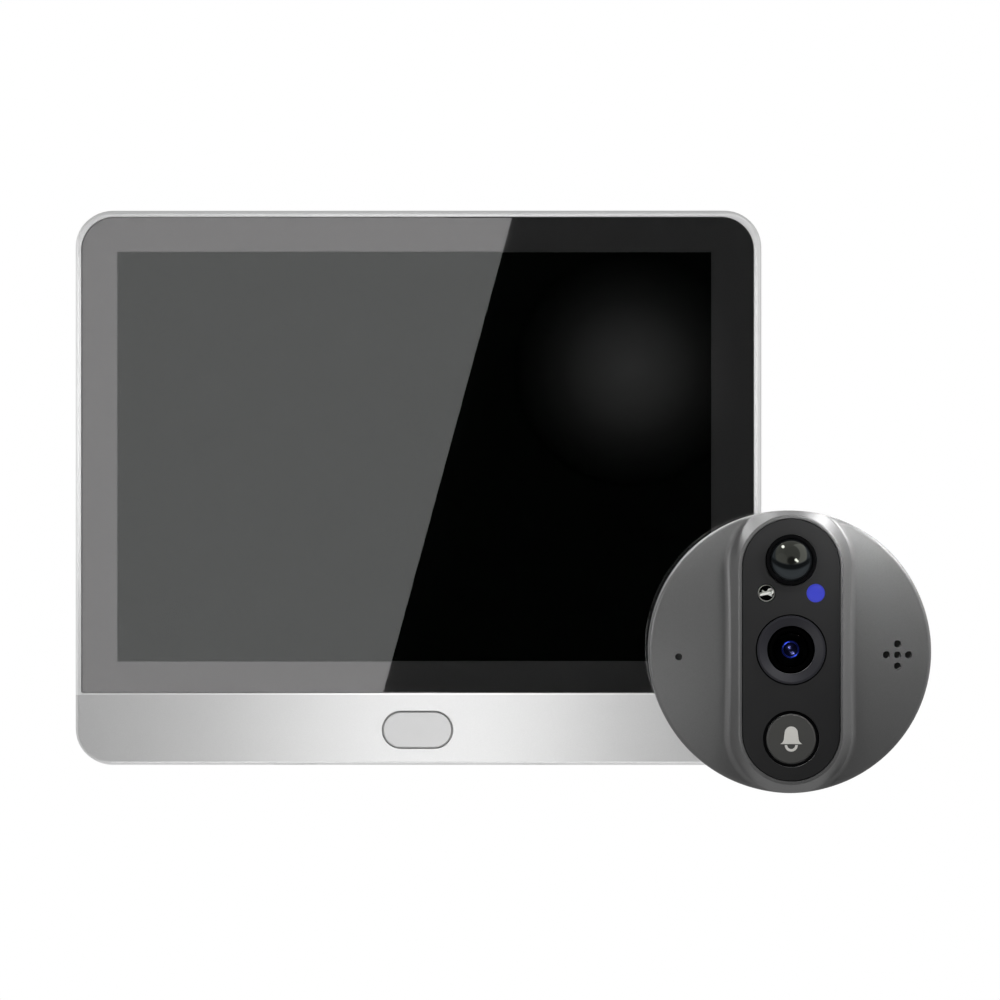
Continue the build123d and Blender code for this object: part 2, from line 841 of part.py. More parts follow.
def home_button():
    """The stadium-shaped key with its flange and the stem that presses the switch."""
    face_width = home_button_width - 2 * home_button_groove
    face_height = home_button_height - 2 * home_button_groove
    flange_front = chin_back - slip
    flange_back = flange_front - home_button_flange_thickness
    face_front = monitor_front + home_button_proud
    key = prism(stadium(face_width, face_height), 0, chin_z, flange_back, face_front)
    key = fillet(key.faces().sort_by(Axis.Y)[0].edges(), home_button_edge)
    flange = stadium(face_width + 2 * home_button_flange, face_height + 2 * home_button_flange)
    key += prism(flange, 0, chin_z, flange_back, flange_front)
    plunger_front = key_board_front + home_switch_body_height + home_switch_plunger_height
    stem_back = plunger_front + home_button_travel + fit_gap
    return key + disc(home_button_stem_radius, 0, chin_z, stem_back, flange_back)


def key_board():
    """The small board behind the chin, held on two pegs of the front shell."""
    board = block(key_board_width, key_board_height, 0, key_board_z, key_board_back, key_board_front)
    for side in (-1, 1):
        peg_x = side * key_board_peg_spacing / 2
        radius = key_board_peg_radius + fit_gap
        board -= disc(radius, peg_x, key_board_z, key_board_back - overrun, key_board_front + overrun)
    return board


def home_button_switch():
    """The dome switch under the home button."""
    body_front = key_board_front + home_switch_body_height
    plunger_front = body_front + home_switch_plunger_height
    body = block(home_switch_size, home_switch_size, 0, chin_z, key_board_front, body_front)
    return body + disc(home_switch_plunger_radius, 0, chin_z, body_front, plunger_front)


def charging_port():
    """The charging socket: a rounded metal shell with its tongue, open at the lower edge."""
    mouth = lower_edge(charging_port_x, charging_port_distance).offset(charging_port_recess)
    outer = stadium(charging_port_width, charging_port_height)
    inner_width = charging_port_width - 2 * charging_port_wall
    inner_height = charging_port_height - 2 * charging_port_wall
    shell = extrude(mouth * outer, charging_port_length)
    room = charging_port_length - charging_port_wall
    shell -= extrude(mouth * stadium(inner_width, inner_height), room)
    shell -= extrude(mouth * stadium(inner_width, inner_height), -overrun)
    tongue_start = mouth.offset(charging_port_wall)
    outline = Rectangle(charging_port_tongue_width, charging_port_tongue_thickness)
    return shell + extrude(tongue_start * outline, charging_port_length - 2 * charging_port_wall)


def power_switch():
    """The slide switch's body, with the groove in which the knob runs."""
    bottom = inner_bottom + seat_gap
    front = key_board_front + power_switch_height
    body = block(power_switch_width, power_switch_length, power_switch_x, bottom + power_switch_length / 2,
                 key_board_front, front)
    groove_width = knob_width + knob_travel + 2 * slip
    half = knob_thickness / 2 + running_gap
    depth = power_switch_groove_depth
    middle = bottom + (depth - overrun) / 2
    return body - block(groove_width, depth + overrun, power_switch_x, middle, knob_distance - half,
                        knob_distance + half)


def power_switch_knob():
    """The sliding knob, drawn at the off end of its travel."""
    x = power_switch_x - knob_travel / 2
    top = inner_bottom + seat_gap + power_switch_groove_depth - running_gap
    bottom = lower_face(knob_distance) + slip
    half = knob_thickness / 2
    knob = block(knob_width, top - bottom, x, (top + bottom) / 2, knob_distance - half, knob_distance + half)
    return chamfer(knob.faces().sort_by(Axis.Z)[0].edges(), slip)


def monitor_microphone():
    """The microphone capsule above its hole in the lower edge."""
    start = upward(microphone_x, microphone_distance, inner_bottom + fit_gap)
    return extrude(start * Circle(microphone_radius), microphone_height)


# Camera unit: casing

def unit_disc(radius, back, front, x=0, z=0):
    """A round solid placed from the camera unit's own axis."""
    return disc(radius, unit_x + x, unit_z + z, back, front)


def panel_disc(radius, back, front, x=0, z=0):
    """A round solid placed from the middle of the front panel."""
    return disc(radius, unit_x + x, panel_z + z, back, front)


def camera_housing():
    """The round casing: a low dome, the upright ridge round the panel, and an open back."""
    ball_radius = (unit_radius ** 2 + dome_rise ** 2) / (2 * dome_rise)
    ball_distance = rim_front + dome_rise - ball_radius
    core = unit_disc(unit_radius, casing_back, ridge_front)
    body = core & Pos(unit_x, -ball_distance, unit_z) * Sphere(ball_radius)
    taper = degrees(atan2(ridge_foot, ridge_rise))
    foot = stadium(2 * (ridge_half_height + ridge_foot), 2 * (ridge_half_width + ridge_foot), upright=True)
    ridge = prism(foot, unit_x, panel_z, rim_front, ridge_front, taper=taper)
    body += ridge & core
    body = fillet(body.faces().sort_by(Axis.Y)[0].edges(), ridge_lip_fillet)

    axis = Vector(unit_x, -ball_distance, unit_z)

    def points(edge):
        return [edge @ share for share in edge_sample_shares]

    def on_dome(edge):
        return all(abs((point - axis).length - ball_radius) < match for point in points(edge))

    def on_rim(edge):
        return all(abs((point - axis).cross(Vector(0, 1, 0)).length - unit_radius) < match
                   for point in points(edge))

    body = fillet([edge for edge in body.edges() if on_dome(edge) and not on_rim(edge)], ridge_foot_fillet)
    front_rim = [edge for edge in body.edges() if on_rim(edge) and -edge.center().Y > cavity_front]
    body = fillet(front_rim, rim_fillet)
    return hollow_housing(body)


def hollow_housing(body):
    """The casing's cavity, the panel's recess, the bosses inside and the sound holes."""
    body -= unit_disc(cavity_radius, casing_back - overrun, cavity_front)
    recess = stadium(2 * (panel_half_height + slip), 2 * (panel_half_width + slip), upright=True)
    body -= prism(recess, unit_x, panel_z, panel_back, ridge_front + overrun)
    opening_length = 2 * (panel_half_height - panel_ledge)
    opening = stadium(opening_length, 2 * (panel_half_width - panel_ledge), upright=True)
    body -= prism(opening, unit_x, panel_z, cavity_front - overrun, panel_back + overrun)
    for x, z in plate_screw_places:
        body += unit_disc(plate_boss_shoulder_radius, unit_board_front, cavity_front, x, z)
        body += unit_disc(plate_boss_radius, plate_front, unit_board_front, x, z)
        end = plate_back + plate_screw_head_height + plate_screw_length + seat_gap
        body -= unit_disc(plate_screw_radius + fit_gap, plate_front - overrun, end, x, z)
    for x, z in unit_board_screw_places:
        body += unit_disc(unit_board_boss_radius, unit_board_front, cavity_front, x, z)
        end = unit_board_back + unit_board_screw_length + seat_gap
        body -= unit_disc(unit_board_screw_radius + fit_gap, unit_board_front - overrun, end, x, z)
    body -= unit_disc(microphone_port_radius, cavity_front - overrun, ridge_front,
                      microphone_port_x, microphone_port_z)
    for step_x, step_z in ((0, 0), (1, 0), (-1, 0), (0, 1), (0, -1)):
        x = speaker_port_x + step_x * speaker_port_pitch
        z = speaker_port_z + step_z * speaker_port_pitch
        body -= unit_disc(speaker_port_radius, cavity_front - overrun, ridge_front, x, z)
    return body


def front_panel():
    """The black panel in the ridge, with holes for the lens, the sensors, the lamps and the button."""
    outline = stadium(2 * panel_half_height, 2 * panel_half_width, upright=True)
    panel = prism(outline, unit_x, panel_z, panel_back, panel_front)
    panel = chamfer(panel.faces().sort_by(Axis.Y)[0].edges(), slip)
    holes = [(lens_ring_radius + slip, 0, 0), (pir_bezel_radius + slip, 0, pir_z)]
    holes += [(bell_hole_radius, 0, bell_z)]
    holes += [(lamp_radius + fit_gap, side * lamp_x, lamp_z) for side in (-1, 1)]
    for radius, x, z in holes:
        panel -= panel_disc(radius, panel_back - overrun, panel_front + overrun, x, z)
    return panel


def back_plate():
    """The round back plate with the spigot that goes into the door's hole."""
    plate = unit_disc(cavity_radius - slip, plate_back, plate_front)
    spigot = unit_disc(spigot_radius, spigot_back, plate_back)
    spigot = chamfer(spigot.faces().sort_by(Axis.Y)[-1].edges(), slip)
    plate += spigot
    plate -= unit_disc(cable_bore_radius, spigot_back - overrun, plate_front + overrun)
    for x, z in insert_places:
        plate -= unit_disc(insert_radius + fit_gap, spigot_back - overrun, spigot_back + insert_length, x, z)
    for x, z in plate_screw_places:
        seat = plate_back + plate_screw_head_height
        plate -= unit_disc(plate_screw_head_radius + slip, plate_back - overrun, seat, x, z)
        plate -= unit_disc(plate_screw_radius + slip, seat, plate_front + overrun, x, z)
    return plate


def back_plate_screws():
    """Four screws that hold the back plate to the casing."""
    seat = plate_back + plate_screw_head_height
    return [screw(unit_x + x, unit_z + z, plate_screw_radius, plate_screw_length, plate_screw_head_radius,
                  plate_screw_head_height, seat, True) for x, z in plate_screw_places]


def door_seal():
    """The soft ring that seals the casing against the door's outer face."""
    radius = cavity_radius - slip
    return tube(radius, radius - door_seal_width, unit_x, unit_z, unit_back, plate_back)


def threaded_inserts():
    """Two brass inserts in the spigot, which take the long clamping screws."""
    return [tube(insert_radius, insert_thread_radius, unit_x + x, unit_z + z, spigot_back,
                 spigot_back + insert_length) for x, z in insert_places]


def cable_grommet():
    """The rubber grommet at the spigot's mouth."""
    return tube(cable_bore_radius - fit_gap, grommet_hole_radius, unit_x, unit_z, spigot_back,
                spigot_back + grommet_length)


# Camera unit: board and what stands on it

def camera_board():
    """The round circuit board, which sits on the shoulders of the casing's bosses."""
    board = unit_disc(unit_board_radius, unit_board_back, unit_board_front)
    holes = [(plate_boss_radius + slip, x, z) for x, z in plate_screw_places]
    holes += [(unit_board_screw_radius + slip, x, z) for x, z in unit_board_screw_places]
    for radius, x, z in holes:
        board -= unit_disc(radius, unit_board_back - overrun, unit_board_front + overrun, x, z)
    return board


def camera_board_screws():
    """Two screws that hold the camera's board."""
    return [screw(unit_x + x, unit_z + z, unit_board_screw_radius, unit_board_screw_length,
                  unit_board_screw_head_radius, unit_board_screw_head_height, unit_board_back, True)
            for x, z in unit_board_screw_places]


def camera_speaker():
    """The small round speaker behind its five holes."""
    return unit_disc(unit_speaker_radius, cavity_front - unit_speaker_height, cavity_front,
                     unit_speaker_x, speaker_port_z)


def camera_microphone():
    """The microphone capsule behind its hole."""
    return unit_disc(unit_microphone_radius, cavity_front - unit_microphone_height, cavity_front,
                     microphone_port_x, microphone_port_z)


def cable_header():
    """The header on the board's back, for the lead to the monitor."""
    return block(cable_header_width, cable_header_height, unit_x, unit_z + cable_header_z,
                 unit_board_back - cable_header_depth, unit_board_back)


# Camera unit: lens

def lens_ring():
    """The ring round the lens: its face slopes in, and a flange behind the panel holds it."""
    front = panel_front + lens_ring_proud
    flange_back = panel_back - lens_ring_flange_thickness
    ring = panel_disc(lens_ring_radius, panel_back, front)
    ring += panel_disc(lens_ring_radius + lens_ring_flange, flange_back, panel_back)
    ring -= panel_disc(lens_opening_radius, flange_back - overrun, front + overrun)
    slope_radius = lens_opening_radius + lens_ring_slope_width
    ring -= cone(lens_opening_radius, slope_radius, unit_x, panel_z, front - lens_ring_slope, front)
    return ring


def lens_barrel():
    """The barrel: seats for two lenses with a conical baffle between them, and the aperture."""
    barrel = panel_disc(lens_barrel_radius, barrel_front - lens_barrel_length, barrel_front)
    barrel -= panel_disc(front_lens_radius + fit_gap, front_lens_back, barrel_front + overrun)
    barrel -= cone(rear_lens_radius, front_lens_radius - front_lens_seat, unit_x, panel_z,
                   baffle_back, front_lens_back)
    barrel -= panel_disc(rear_lens_radius + fit_gap, rear_lens_back, baffle_back)
    return barrel - panel_disc(aperture_radius, barrel_front - lens_barrel_length - overrun, rear_lens_back)


def front_lens():
    """The domed front lens."""
    edge_front = front_lens_back + front_lens_edge
    edge = panel_disc(front_lens_radius, front_lens_back, edge_front)
    return edge + cap(front_lens_radius, front_lens_bulge, unit_x, panel_z, edge_front)


def rear_lens():
    """The smaller coated lens deeper in the barrel."""
    edge_front = rear_lens_back + rear_lens_edge
    edge = panel_disc(rear_lens_radius, rear_lens_back, edge_front)
    return edge + cap(rear_lens_radius, rear_lens_bulge, unit_x, panel_z, edge_front)


def lens_holder():
    """The square holder that stands on the board over the image sensor."""
    outline = RectangleRounded(lens_holder_size, lens_holder_size, lens_holder_corner)
    top = unit_board_front + lens_holder_height
    holder = prism(outline, unit_x, panel_z, unit_board_front, top)
    holder -= panel_disc(lens_barrel_radius + fit_gap, unit_board_front, top + overrun)
    return holder - block(lens_holder_cavity, lens_holder_cavity, unit_x, panel_z,
                          unit_board_front - overrun, unit_board_front + lens_holder_cavity_depth)


def image_sensor():
    """The image sensor on the board."""
    return block(sensor_width, sensor_height, unit_x, panel_z, unit_board_front,
                 unit_board_front + sensor_thickness)


# Camera unit: motion sensor, light sensor and lamps

def pir_bezel():
    """The black ring that holds the motion sensor's dome."""
    seat = panel_front - pir_dome_skirt
    bezel = panel_disc(pir_bezel_radius, panel_back, panel_front + pir_bezel_proud, 0, pir_z)
    flange_back = panel_back - pir_bezel_flange_thickness
    bezel += panel_disc(pir_bezel_radius + pir_bezel_flange, flange_back, panel_back, 0, pir_z)
    bore = pir_bezel_radius - pir_bezel_wall
    bezel -= panel_disc(bore, seat, panel_front + pir_bezel_proud + overrun, 0, pir_z)
    bezel = fillet(bezel.faces().sort_by(Axis.Y)[0].edges(), slip)
    return bezel - panel_disc(bore - pir_bezel_step, flange_back - overrun, seat, 0, pir_z)


def pir_dome():
    """The hollow dome lens of the motion sensor."""
    radius = pir_bezel_radius - pir_bezel_wall - fit_gap
    bore = radius - pir_dome_wall
    skirt = panel_disc(radius, panel_front - pir_dome_skirt, panel_front, 0, pir_z)
    outer = skirt + cap(radius, pir_dome_bulge, unit_x, panel_z + pir_z, panel_front)
    inner = cap(bore, pir_dome_bulge - pir_dome_wall, unit_x, panel_z + pir_z, panel_front)
    return outer - inner - panel_disc(bore, panel_front - pir_dome_skirt - overrun, panel_front, 0, pir_z)


def pir_sensor():
    """The motion sensor's metal can on its three legs."""
    front = panel_back
    back = front - pir_can_height
    can = panel_disc(pir_can_radius, back, front, 0, pir_z)
    can += panel_disc(pir_can_radius + pir_can_rim, back, back + pir_can_rim_height, 0, pir_z)
    can -= block(pir_can_window, pir_can_window, unit_x, panel_z + pir_z, front - pir_can_window_depth,
                 front + overrun)
    for index in range(pir_leg_count):
        direction = Vector(pir_leg_circle, 0).rotate(Axis.Z, index * 360 / pir_leg_count)
        can += panel_disc(pir_leg_radius, unit_board_front, back, direction.X, pir_z + direction.Y)
    return can


def lamp(side):
    """A round lamp or sensor body in the panel, with its flange and its two legs."""
    x = side * lamp_x
    front = panel_front - lamp_bulge
    flange_back = panel_back - lamp_flange_thickness
    body = panel_disc(lamp_radius, panel_back, front, x, lamp_z)
    body += cap(lamp_radius, lamp_bulge, unit_x + x, panel_z + lamp_z, front)
    body += panel_disc(lamp_radius + lamp_flange, flange_back, panel_back, x, lamp_z)
    for leg in (-1, 1):
        leg_x = x + leg * lamp_leg_spacing / 2
        body += panel_disc(lamp_leg_radius, unit_board_front, flange_back, leg_x, lamp_z)
    return body


def light_sensor():
    """The clear light sensor, left of the panel's middle."""
    return lamp(-1)


def status_lamp():
    """The blue status lamp, right of the panel's middle."""
    return lamp(1)


def infrared_lamps():
    """Two night lamps hidden behind the panel."""
    lamps = []
    for side in (-1, 1):
        x = side * infrared_x
        shoulder = panel_back - seat_gap - infrared_bulge
        back = shoulder - infrared_length
        body = panel_disc(infrared_radius, back, shoulder, x, infrared_z)
        body += cap(infrared_radius, infrared_bulge, unit_x + x, panel_z + infrared_z, shoulder)
        for leg in (-1, 1):
            leg_x = x + leg * lamp_leg_spacing / 2
            body += panel_disc(lamp_leg_radius, unit_board_front, back, leg_x, infrared_z)
        lamps.append(body)
    return lamps


# Camera unit: bell button

def bell_button():
    """The round call button with its flange, its stem and the pocket of the bell sign."""
    flange_front = panel_back - slip
    flange_back = flange_front - bell_flange_thickness
    button = panel_disc(bell_face_radius, flange_back, bell_face_front, 0, bell_z)
    button = fillet(button.faces().sort_by(Axis.Y)[0].edges(), bell_edge)
    button += panel_disc(bell_face_radius + bell_flange, flange_back, flange_front, 0, bell_z)
    plunger_front = unit_board_front + bell_switch_body_height + bell_switch_plunger_height
    stem_back = plunger_front + bell_travel + fit_gap
    button += panel_disc(bell_stem_radius, stem_back, flange_back, 0, bell_z)
    for piece in bell_sign(bell_face_front + overrun):
        button -= piece
    return button


def bell_sign(front):
    """The bell and its clapper, from the floor of their pocket up to the plane front."""
    total = bell_icon_height + bell_clapper_gap + bell_clapper_radius
    base = bell_clapper_gap + bell_clapper_radius - total / 2

    def at(shares, side=1):
        return side * shares[0] * bell_icon_width, base + shares[1] * bell_icon_height

    right = [Line(at(brim_shares, -1), at(brim_shares)),
             ThreePointArc(at(brim_shares), at(flare_shares), at(waist_shares)),
             Line(at(waist_shares), at(shoulder_shares)),
             ThreePointArc(at(shoulder_shares), at(crown_shares), at(shoulder_shares, -1))]
    left = [Line(at(shoulder_shares, -1), at(waist_shares, -1)),
            ThreePointArc(at(waist_shares, -1), at(flare_shares, -1), at(brim_shares, -1))]
    bell = make_face(right + left)
    middle = base - bell_clapper_gap
    ring = Circle(bell_clapper_radius) - Circle(bell_clapper_radius - bell_clapper_thickness)
    lower = Pos(0, -bell_clapper_radius / 2) * Rectangle(2 * bell_clapper_radius, bell_clapper_radius)
    clapper = Pos(0, middle) * (ring & lower)
    floor = bell_face_front - bell_icon_depth
    return [prism(outline, unit_x, panel_z + bell_z, floor, front) for outline in (bell, clapper)]


def bell_icon():
    """The inlaid bell sign, flush with the button's face."""
    return bell_sign(bell_face_front)


def button_seal():
    """The rubber ring between the panel and the call button."""
    return tube(bell_hole_radius - fit_gap, bell_face_radius + running_gap, unit_x, panel_z + bell_z,
                panel_back, panel_front - seat_gap)


def bell_switch():
    """The switch under the call button."""
    body_front = unit_board_front + bell_switch_body_height
    plunger_front = body_front + bell_switch_plunger_height
    z = panel_z + bell_z
    body = block(bell_switch_size, bell_switch_size, unit_x, z, unit_board_front, body_front)
    return body + disc(bell_switch_plunger_radius, unit_x, z, body_front, plunger_front)


# Every piece, one file each

pieces = [
    mounting_bracket,
    front_shell, rear_cover, rear_cover_screws, rubber_pads,
    display_glass, display_gasket, lcd_panel, backlight_unit,
    main_board, board_screws, board_chips, cable_socket, battery_pack, monitor_speaker, wifi_antenna,
    home_button, home_button_switch, key_board, charging_port, power_switch, power_switch_knob,
    monitor_microphone,
    camera_housing, front_panel, back_plate, back_plate_screws, door_seal, threaded_inserts, cable_grommet,
    camera_board, camera_board_screws, camera_speaker, camera_microphone, cable_header,
    lens_ring, lens_barrel, front_lens, rear_lens, lens_holder, image_sensor,
    pir_bezel, pir_dome, pir_sensor, light_sensor, status_lamp, infrared_lamps,
    bell_button, bell_icon, button_seal, bell_switch,
]

os.makedirs("parts", exist_ok=True)
for piece in pieces:
    made = piece()
    shape = Compound(children=made) if isinstance(made, list) else made
    export_step(shape, "parts/" + piece.__name__ + ".step")
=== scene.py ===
import json
import math
import bpy
import bmesh
from bpy.props import FloatProperty, FloatVectorProperty, IntProperty, PointerProperty
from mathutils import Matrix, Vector

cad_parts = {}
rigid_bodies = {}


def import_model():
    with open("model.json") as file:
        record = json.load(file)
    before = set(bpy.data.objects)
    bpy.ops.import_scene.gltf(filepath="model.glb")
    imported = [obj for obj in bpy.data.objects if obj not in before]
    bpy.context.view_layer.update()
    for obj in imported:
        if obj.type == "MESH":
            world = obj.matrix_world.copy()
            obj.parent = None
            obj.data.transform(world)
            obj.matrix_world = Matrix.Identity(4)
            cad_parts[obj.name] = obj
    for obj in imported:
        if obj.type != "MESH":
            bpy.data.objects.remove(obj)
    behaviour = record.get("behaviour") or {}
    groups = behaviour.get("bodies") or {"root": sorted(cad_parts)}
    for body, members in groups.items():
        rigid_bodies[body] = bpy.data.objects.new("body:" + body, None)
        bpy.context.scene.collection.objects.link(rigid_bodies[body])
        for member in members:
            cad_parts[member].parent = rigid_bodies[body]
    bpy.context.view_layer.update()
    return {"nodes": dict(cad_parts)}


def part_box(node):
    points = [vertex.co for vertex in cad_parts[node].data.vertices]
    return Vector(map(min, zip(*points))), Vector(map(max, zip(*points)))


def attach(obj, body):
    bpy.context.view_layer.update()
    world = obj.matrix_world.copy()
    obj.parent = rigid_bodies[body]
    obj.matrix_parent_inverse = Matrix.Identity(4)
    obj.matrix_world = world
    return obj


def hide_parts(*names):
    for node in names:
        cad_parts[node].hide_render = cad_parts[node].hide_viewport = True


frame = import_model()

bl_info = {
    "name": "Peephole door camera",
    "version": (1, 0, 0),
    "blender": (4, 5, 0),
    "location": "3D View > Sidebar > Door Camera",
    "description": "Finishes and fine pieces of a door viewer monitor and its outdoor camera unit",
    "category": "Object",
}

MM = 0.001
GAUZES = ("microphone_gauze", *("speaker_gauze_%d" % (number + 1) for number in range(5)))


# Shader helpers

class Value:
    """One shader socket, which takes part in arithmetic."""

    def __init__(self, graph, socket):
        self.graph = graph
        self.socket = socket

    def combine(self, operation, *inputs):
        return self.graph.node("ShaderNodeMath", {"operation": operation}, inputs)["Value"]

    def __add__(self, other):
        return self.combine("ADD", self, other)

    def __radd__(self, other):
        return self.combine("ADD", other, self)

    def __sub__(self, other):
        return self.combine("SUBTRACT", self, other)

    def __rsub__(self, other):
        return self.combine("SUBTRACT", other, self)

    def __mul__(self, other):
        return self.combine("MULTIPLY", self, other)

    def __rmul__(self, other):
        return self.combine("MULTIPLY", other, self)

    def __truediv__(self, other):
        return self.combine("DIVIDE", self, other)

    def __pow__(self, other):
        return self.combine("POWER", self, other)

    def __lt__(self, other):
        return self.combine("LESS_THAN", self, other)

    def __gt__(self, other):
        return self.combine("GREATER_THAN", self, other)

    def zigzag(self, half):
        """Rises and falls between 0 and half."""
        return self.combine("PINGPONG", self, half)

    def highest(self, other):
        return self.combine("MAXIMUM", self, other)


class Made:
    """A node whose outputs are taken by name or number."""

    def __init__(self, graph, node):
        self.graph = graph
        self.node = node

    def __getitem__(self, output):
        return Value(self.graph, self.node.outputs[output])


class Graph:
    """The node tree of one finish."""

    def __init__(self, name=None, tree=None):
        if tree is None:
            self.material = bpy.data.materials.new(name)
            self.material.use_nodes = True
            tree = self.material.node_tree
        self.tree = tree
        self.tree.nodes.clear()

    def node(self, kind, settings=None, inputs=None):
        """A node of that type: its settings come first, then the values or links of its sockets."""
        made = self.tree.nodes.new(kind)
        for key, value in (settings or {}).items():
            if key == "stops":
                self.set_stops(made.color_ramp, value)
            else:
                setattr(made, key, value)
        pairs = inputs.items() if isinstance(inputs, dict) else enumerate(inputs or [])
        for key, value in pairs:
            socket = made.inputs[key]
            if isinstance(value, Value):
                self.tree.links.new(value.socket, socket)
            elif socket.type == "RGBA":
                socket.default_value = (*value[:3], 1.0)
            else:
                socket.default_value = value
        made.location = (220.0 * len(self.tree.nodes), 0.0)
        return Made(self, made)

    def set_stops(self, ramp, stops):
        """The stops of a ramp, as (position, grey)."""
        while len(ramp.elements) < len(stops):
            ramp.elements.new(1.0)
        for element, (position, grey) in zip(ramp.elements, stops):
            element.position = position
            element.color = (grey, grey, grey, 1.0)

    def place(self):
        """Object coordinates in metres."""
        return self.node("ShaderNodeTexCoord")["Object"]

    def axis(self, name):
        """One axis of the object coordinates, in millimetres."""
        return self.node("ShaderNodeSeparateXYZ", None, {"Vector": self.place()})[name] * 1000.0

    def noise(self, size, detail=3.0, stretch=(1.0, 1.0, 1.0)):
        """Noise whose grains are about size millimetres across, stretched along each axis."""
        scale = tuple(1000.0 / (size * share) for share in stretch)
        vector = self.node("ShaderNodeMapping", None, {"Vector": self.place(), "Scale": scale})["Vector"]
        return self.node("ShaderNodeTexNoise", None, {"Vector": vector, "Scale": 1.0, "Detail": detail})[0]

    def cells(self, size, feature="F1", output="Distance"):
        """Cells about size millimetres across."""
        inputs = {"Vector": self.place(), "Scale": 1000.0 / size}
        return self.node("ShaderNodeTexVoronoi", {"feature": feature}, inputs)[output]

    def ramp(self, value, *stops):
        """The value passed through a ramp of greys."""
        return self.node("ShaderNodeValToRGB", {"stops": stops}, {"Fac": value})["Color"]

    def mixed(self, share, first, second):
        """A mix of two colours by a share from 0 to 1. Inputs 6 and 7 and output 2 are its colours."""
        return self.node("ShaderNodeMix", {"data_type": "RGBA"}, {0: share, 6: first, 7: second})[2]

    def stretched(self, value, low, high, bottom=0.0, top=1.0):
        """The range from low to high laid over the range from bottom to top, and held inside it."""
        return self.node("ShaderNodeMapRange", None, [value, low, high, bottom, top])[0]

    def red(self, colour):
        """The red part of a colour, as a number."""
        return self.node("ShaderNodeSeparateColor", None, {"Color": colour})[0]

    def facing(self, blend):
        """0 where the surface faces the eye, and 1 at its outline."""
        return self.node("ShaderNodeLayerWeight", None, {"Blend": blend})["Facing"]

    def bump(self, height, depth):
        """A bump whose full height is depth millimetres."""
        return self.node("ShaderNodeBump", None, {"Height": height, "Distance": depth * MM})["Normal"]

    def surface(self, **sockets):
        """The finished surface. Socket names are written with underscores."""
        inputs = {key.replace("_", " "): value for key, value in sockets.items()}
        shader = self.node("ShaderNodeBsdfPrincipled", None, inputs)["BSDF"]
        self.node("ShaderNodeOutputMaterial", None, {"Surface": shader})
        return self.material

    def glowing(self, colour, strength):
        """A finish that only shines."""
        shine = self.node("ShaderNodeEmission", None, {"Color": colour, "Strength": strength})["Emission"]
        self.node("ShaderNodeOutputMaterial", None, {"Surface": shine})
        return self.material


def shaded(colour, share):
    """A colour made lighter or darker by a share."""
    return tuple(min(1.0, part * share) for part in colour)


# Finishes shared by several pieces

def moulded(name, colour, roughness=0.5, grain=0.35, depth=0.012, mottle=0.06, shine=0.5):
    """Moulded plastic: a fine spark-eroded grain, and slow changes of tone and polish."""
    g = Graph(name)
    texture = g.cells(grain, "SMOOTH_F1") * 0.7 + g.noise(grain * 0.6, 2.0) * 0.3
    tone = g.noise(14.0, 4.0)
    base = g.mixed(tone, shaded(colour, 1 - mottle), shaded(colour, 1 + mottle))
    polish = g.noise(6.0, 5.0) * 0.14 + (roughness - 0.07)
    return g.surface(Base_Color=base, Roughness=polish, Specular_IOR_Level=shine,
                     Normal=g.bump(texture, depth))


def worked_metal(name, colour, roughness=0.32, stretch=(14.0, 1.0, 1.0), depth=0.004, spots=0.0):
    """Sheet or turned metal with fine lines along one direction, and a few dull spots."""
    g = Graph(name)
    lines = g.noise(0.12, 4.0, stretch)
    stain = g.noise(5.0, 5.0)
    base = g.mixed(stain, shaded(colour, 0.86), shaded(colour, 1.08))
    dull = lines * 0.16 + stain * (0.1 + spots) + (roughness - 0.12)
    return g.surface(Base_Color=base, Metallic=1.0, Roughness=dull, Normal=g.bump(lines, depth))


def soft_rubber(name, colour):
    """Matt moulded rubber with a faint bloom."""
    g = Graph(name)
    bloom = g.noise(1.8, 5.0)
    base = g.mixed(bloom, colour, shaded(colour, 2.2))
    pits = g.cells(0.16, "SMOOTH_F1")
    return g.surface(Base_Color=base, Roughness=bloom * 0.2 + 0.68, Normal=g.bump(pits, 0.01))


def clear_solid(name, tint, roughness=0.0, ior=1.47, weight=1.0):
    """Clear glass or resin with the faintest wipe marks."""
    g = Graph(name)
    wipes = g.noise(5.0, 4.0, (4.0, 1.0, 1.0))
    haze = g.stretched(wipes, 0.52, 0.8, 0.0, 0.005)
    return g.surface(Base_Color=tint, Roughness=haze + roughness, IOR=ior, Transmission_Weight=weight)


def circuit_board(name):
    """Green solder mask over copper tracks, with plated holes."""
    g = Graph(name)
    lanes = (g.axis("X") + g.cells(7.0) * 900.0).zigzag(0.6) < 0.22
    cross = g.axis("Z").zigzag(0.75) < 0.2
    copper = (lanes * (g.noise(11.0, 1.0) > 0.5)).highest(cross * (g.noise(9.0, 1.0) > 0.53))
    vias = g.cells(2.4) < 0.12
    mask = g.mixed(copper, (0.008, 0.075, 0.03), (0.016, 0.15, 0.055))
    base = g.mixed(vias, mask, (0.62, 0.58, 0.42))
    return g.surface(Base_Color=base, Roughness=g.noise(3.0, 3.0) * 0.15 + 0.28, Metallic=vias,
                     Normal=g.bump(copper + vias * 0.5, 0.03), Coat_Weight=0.4)


# Finishes of the monitor

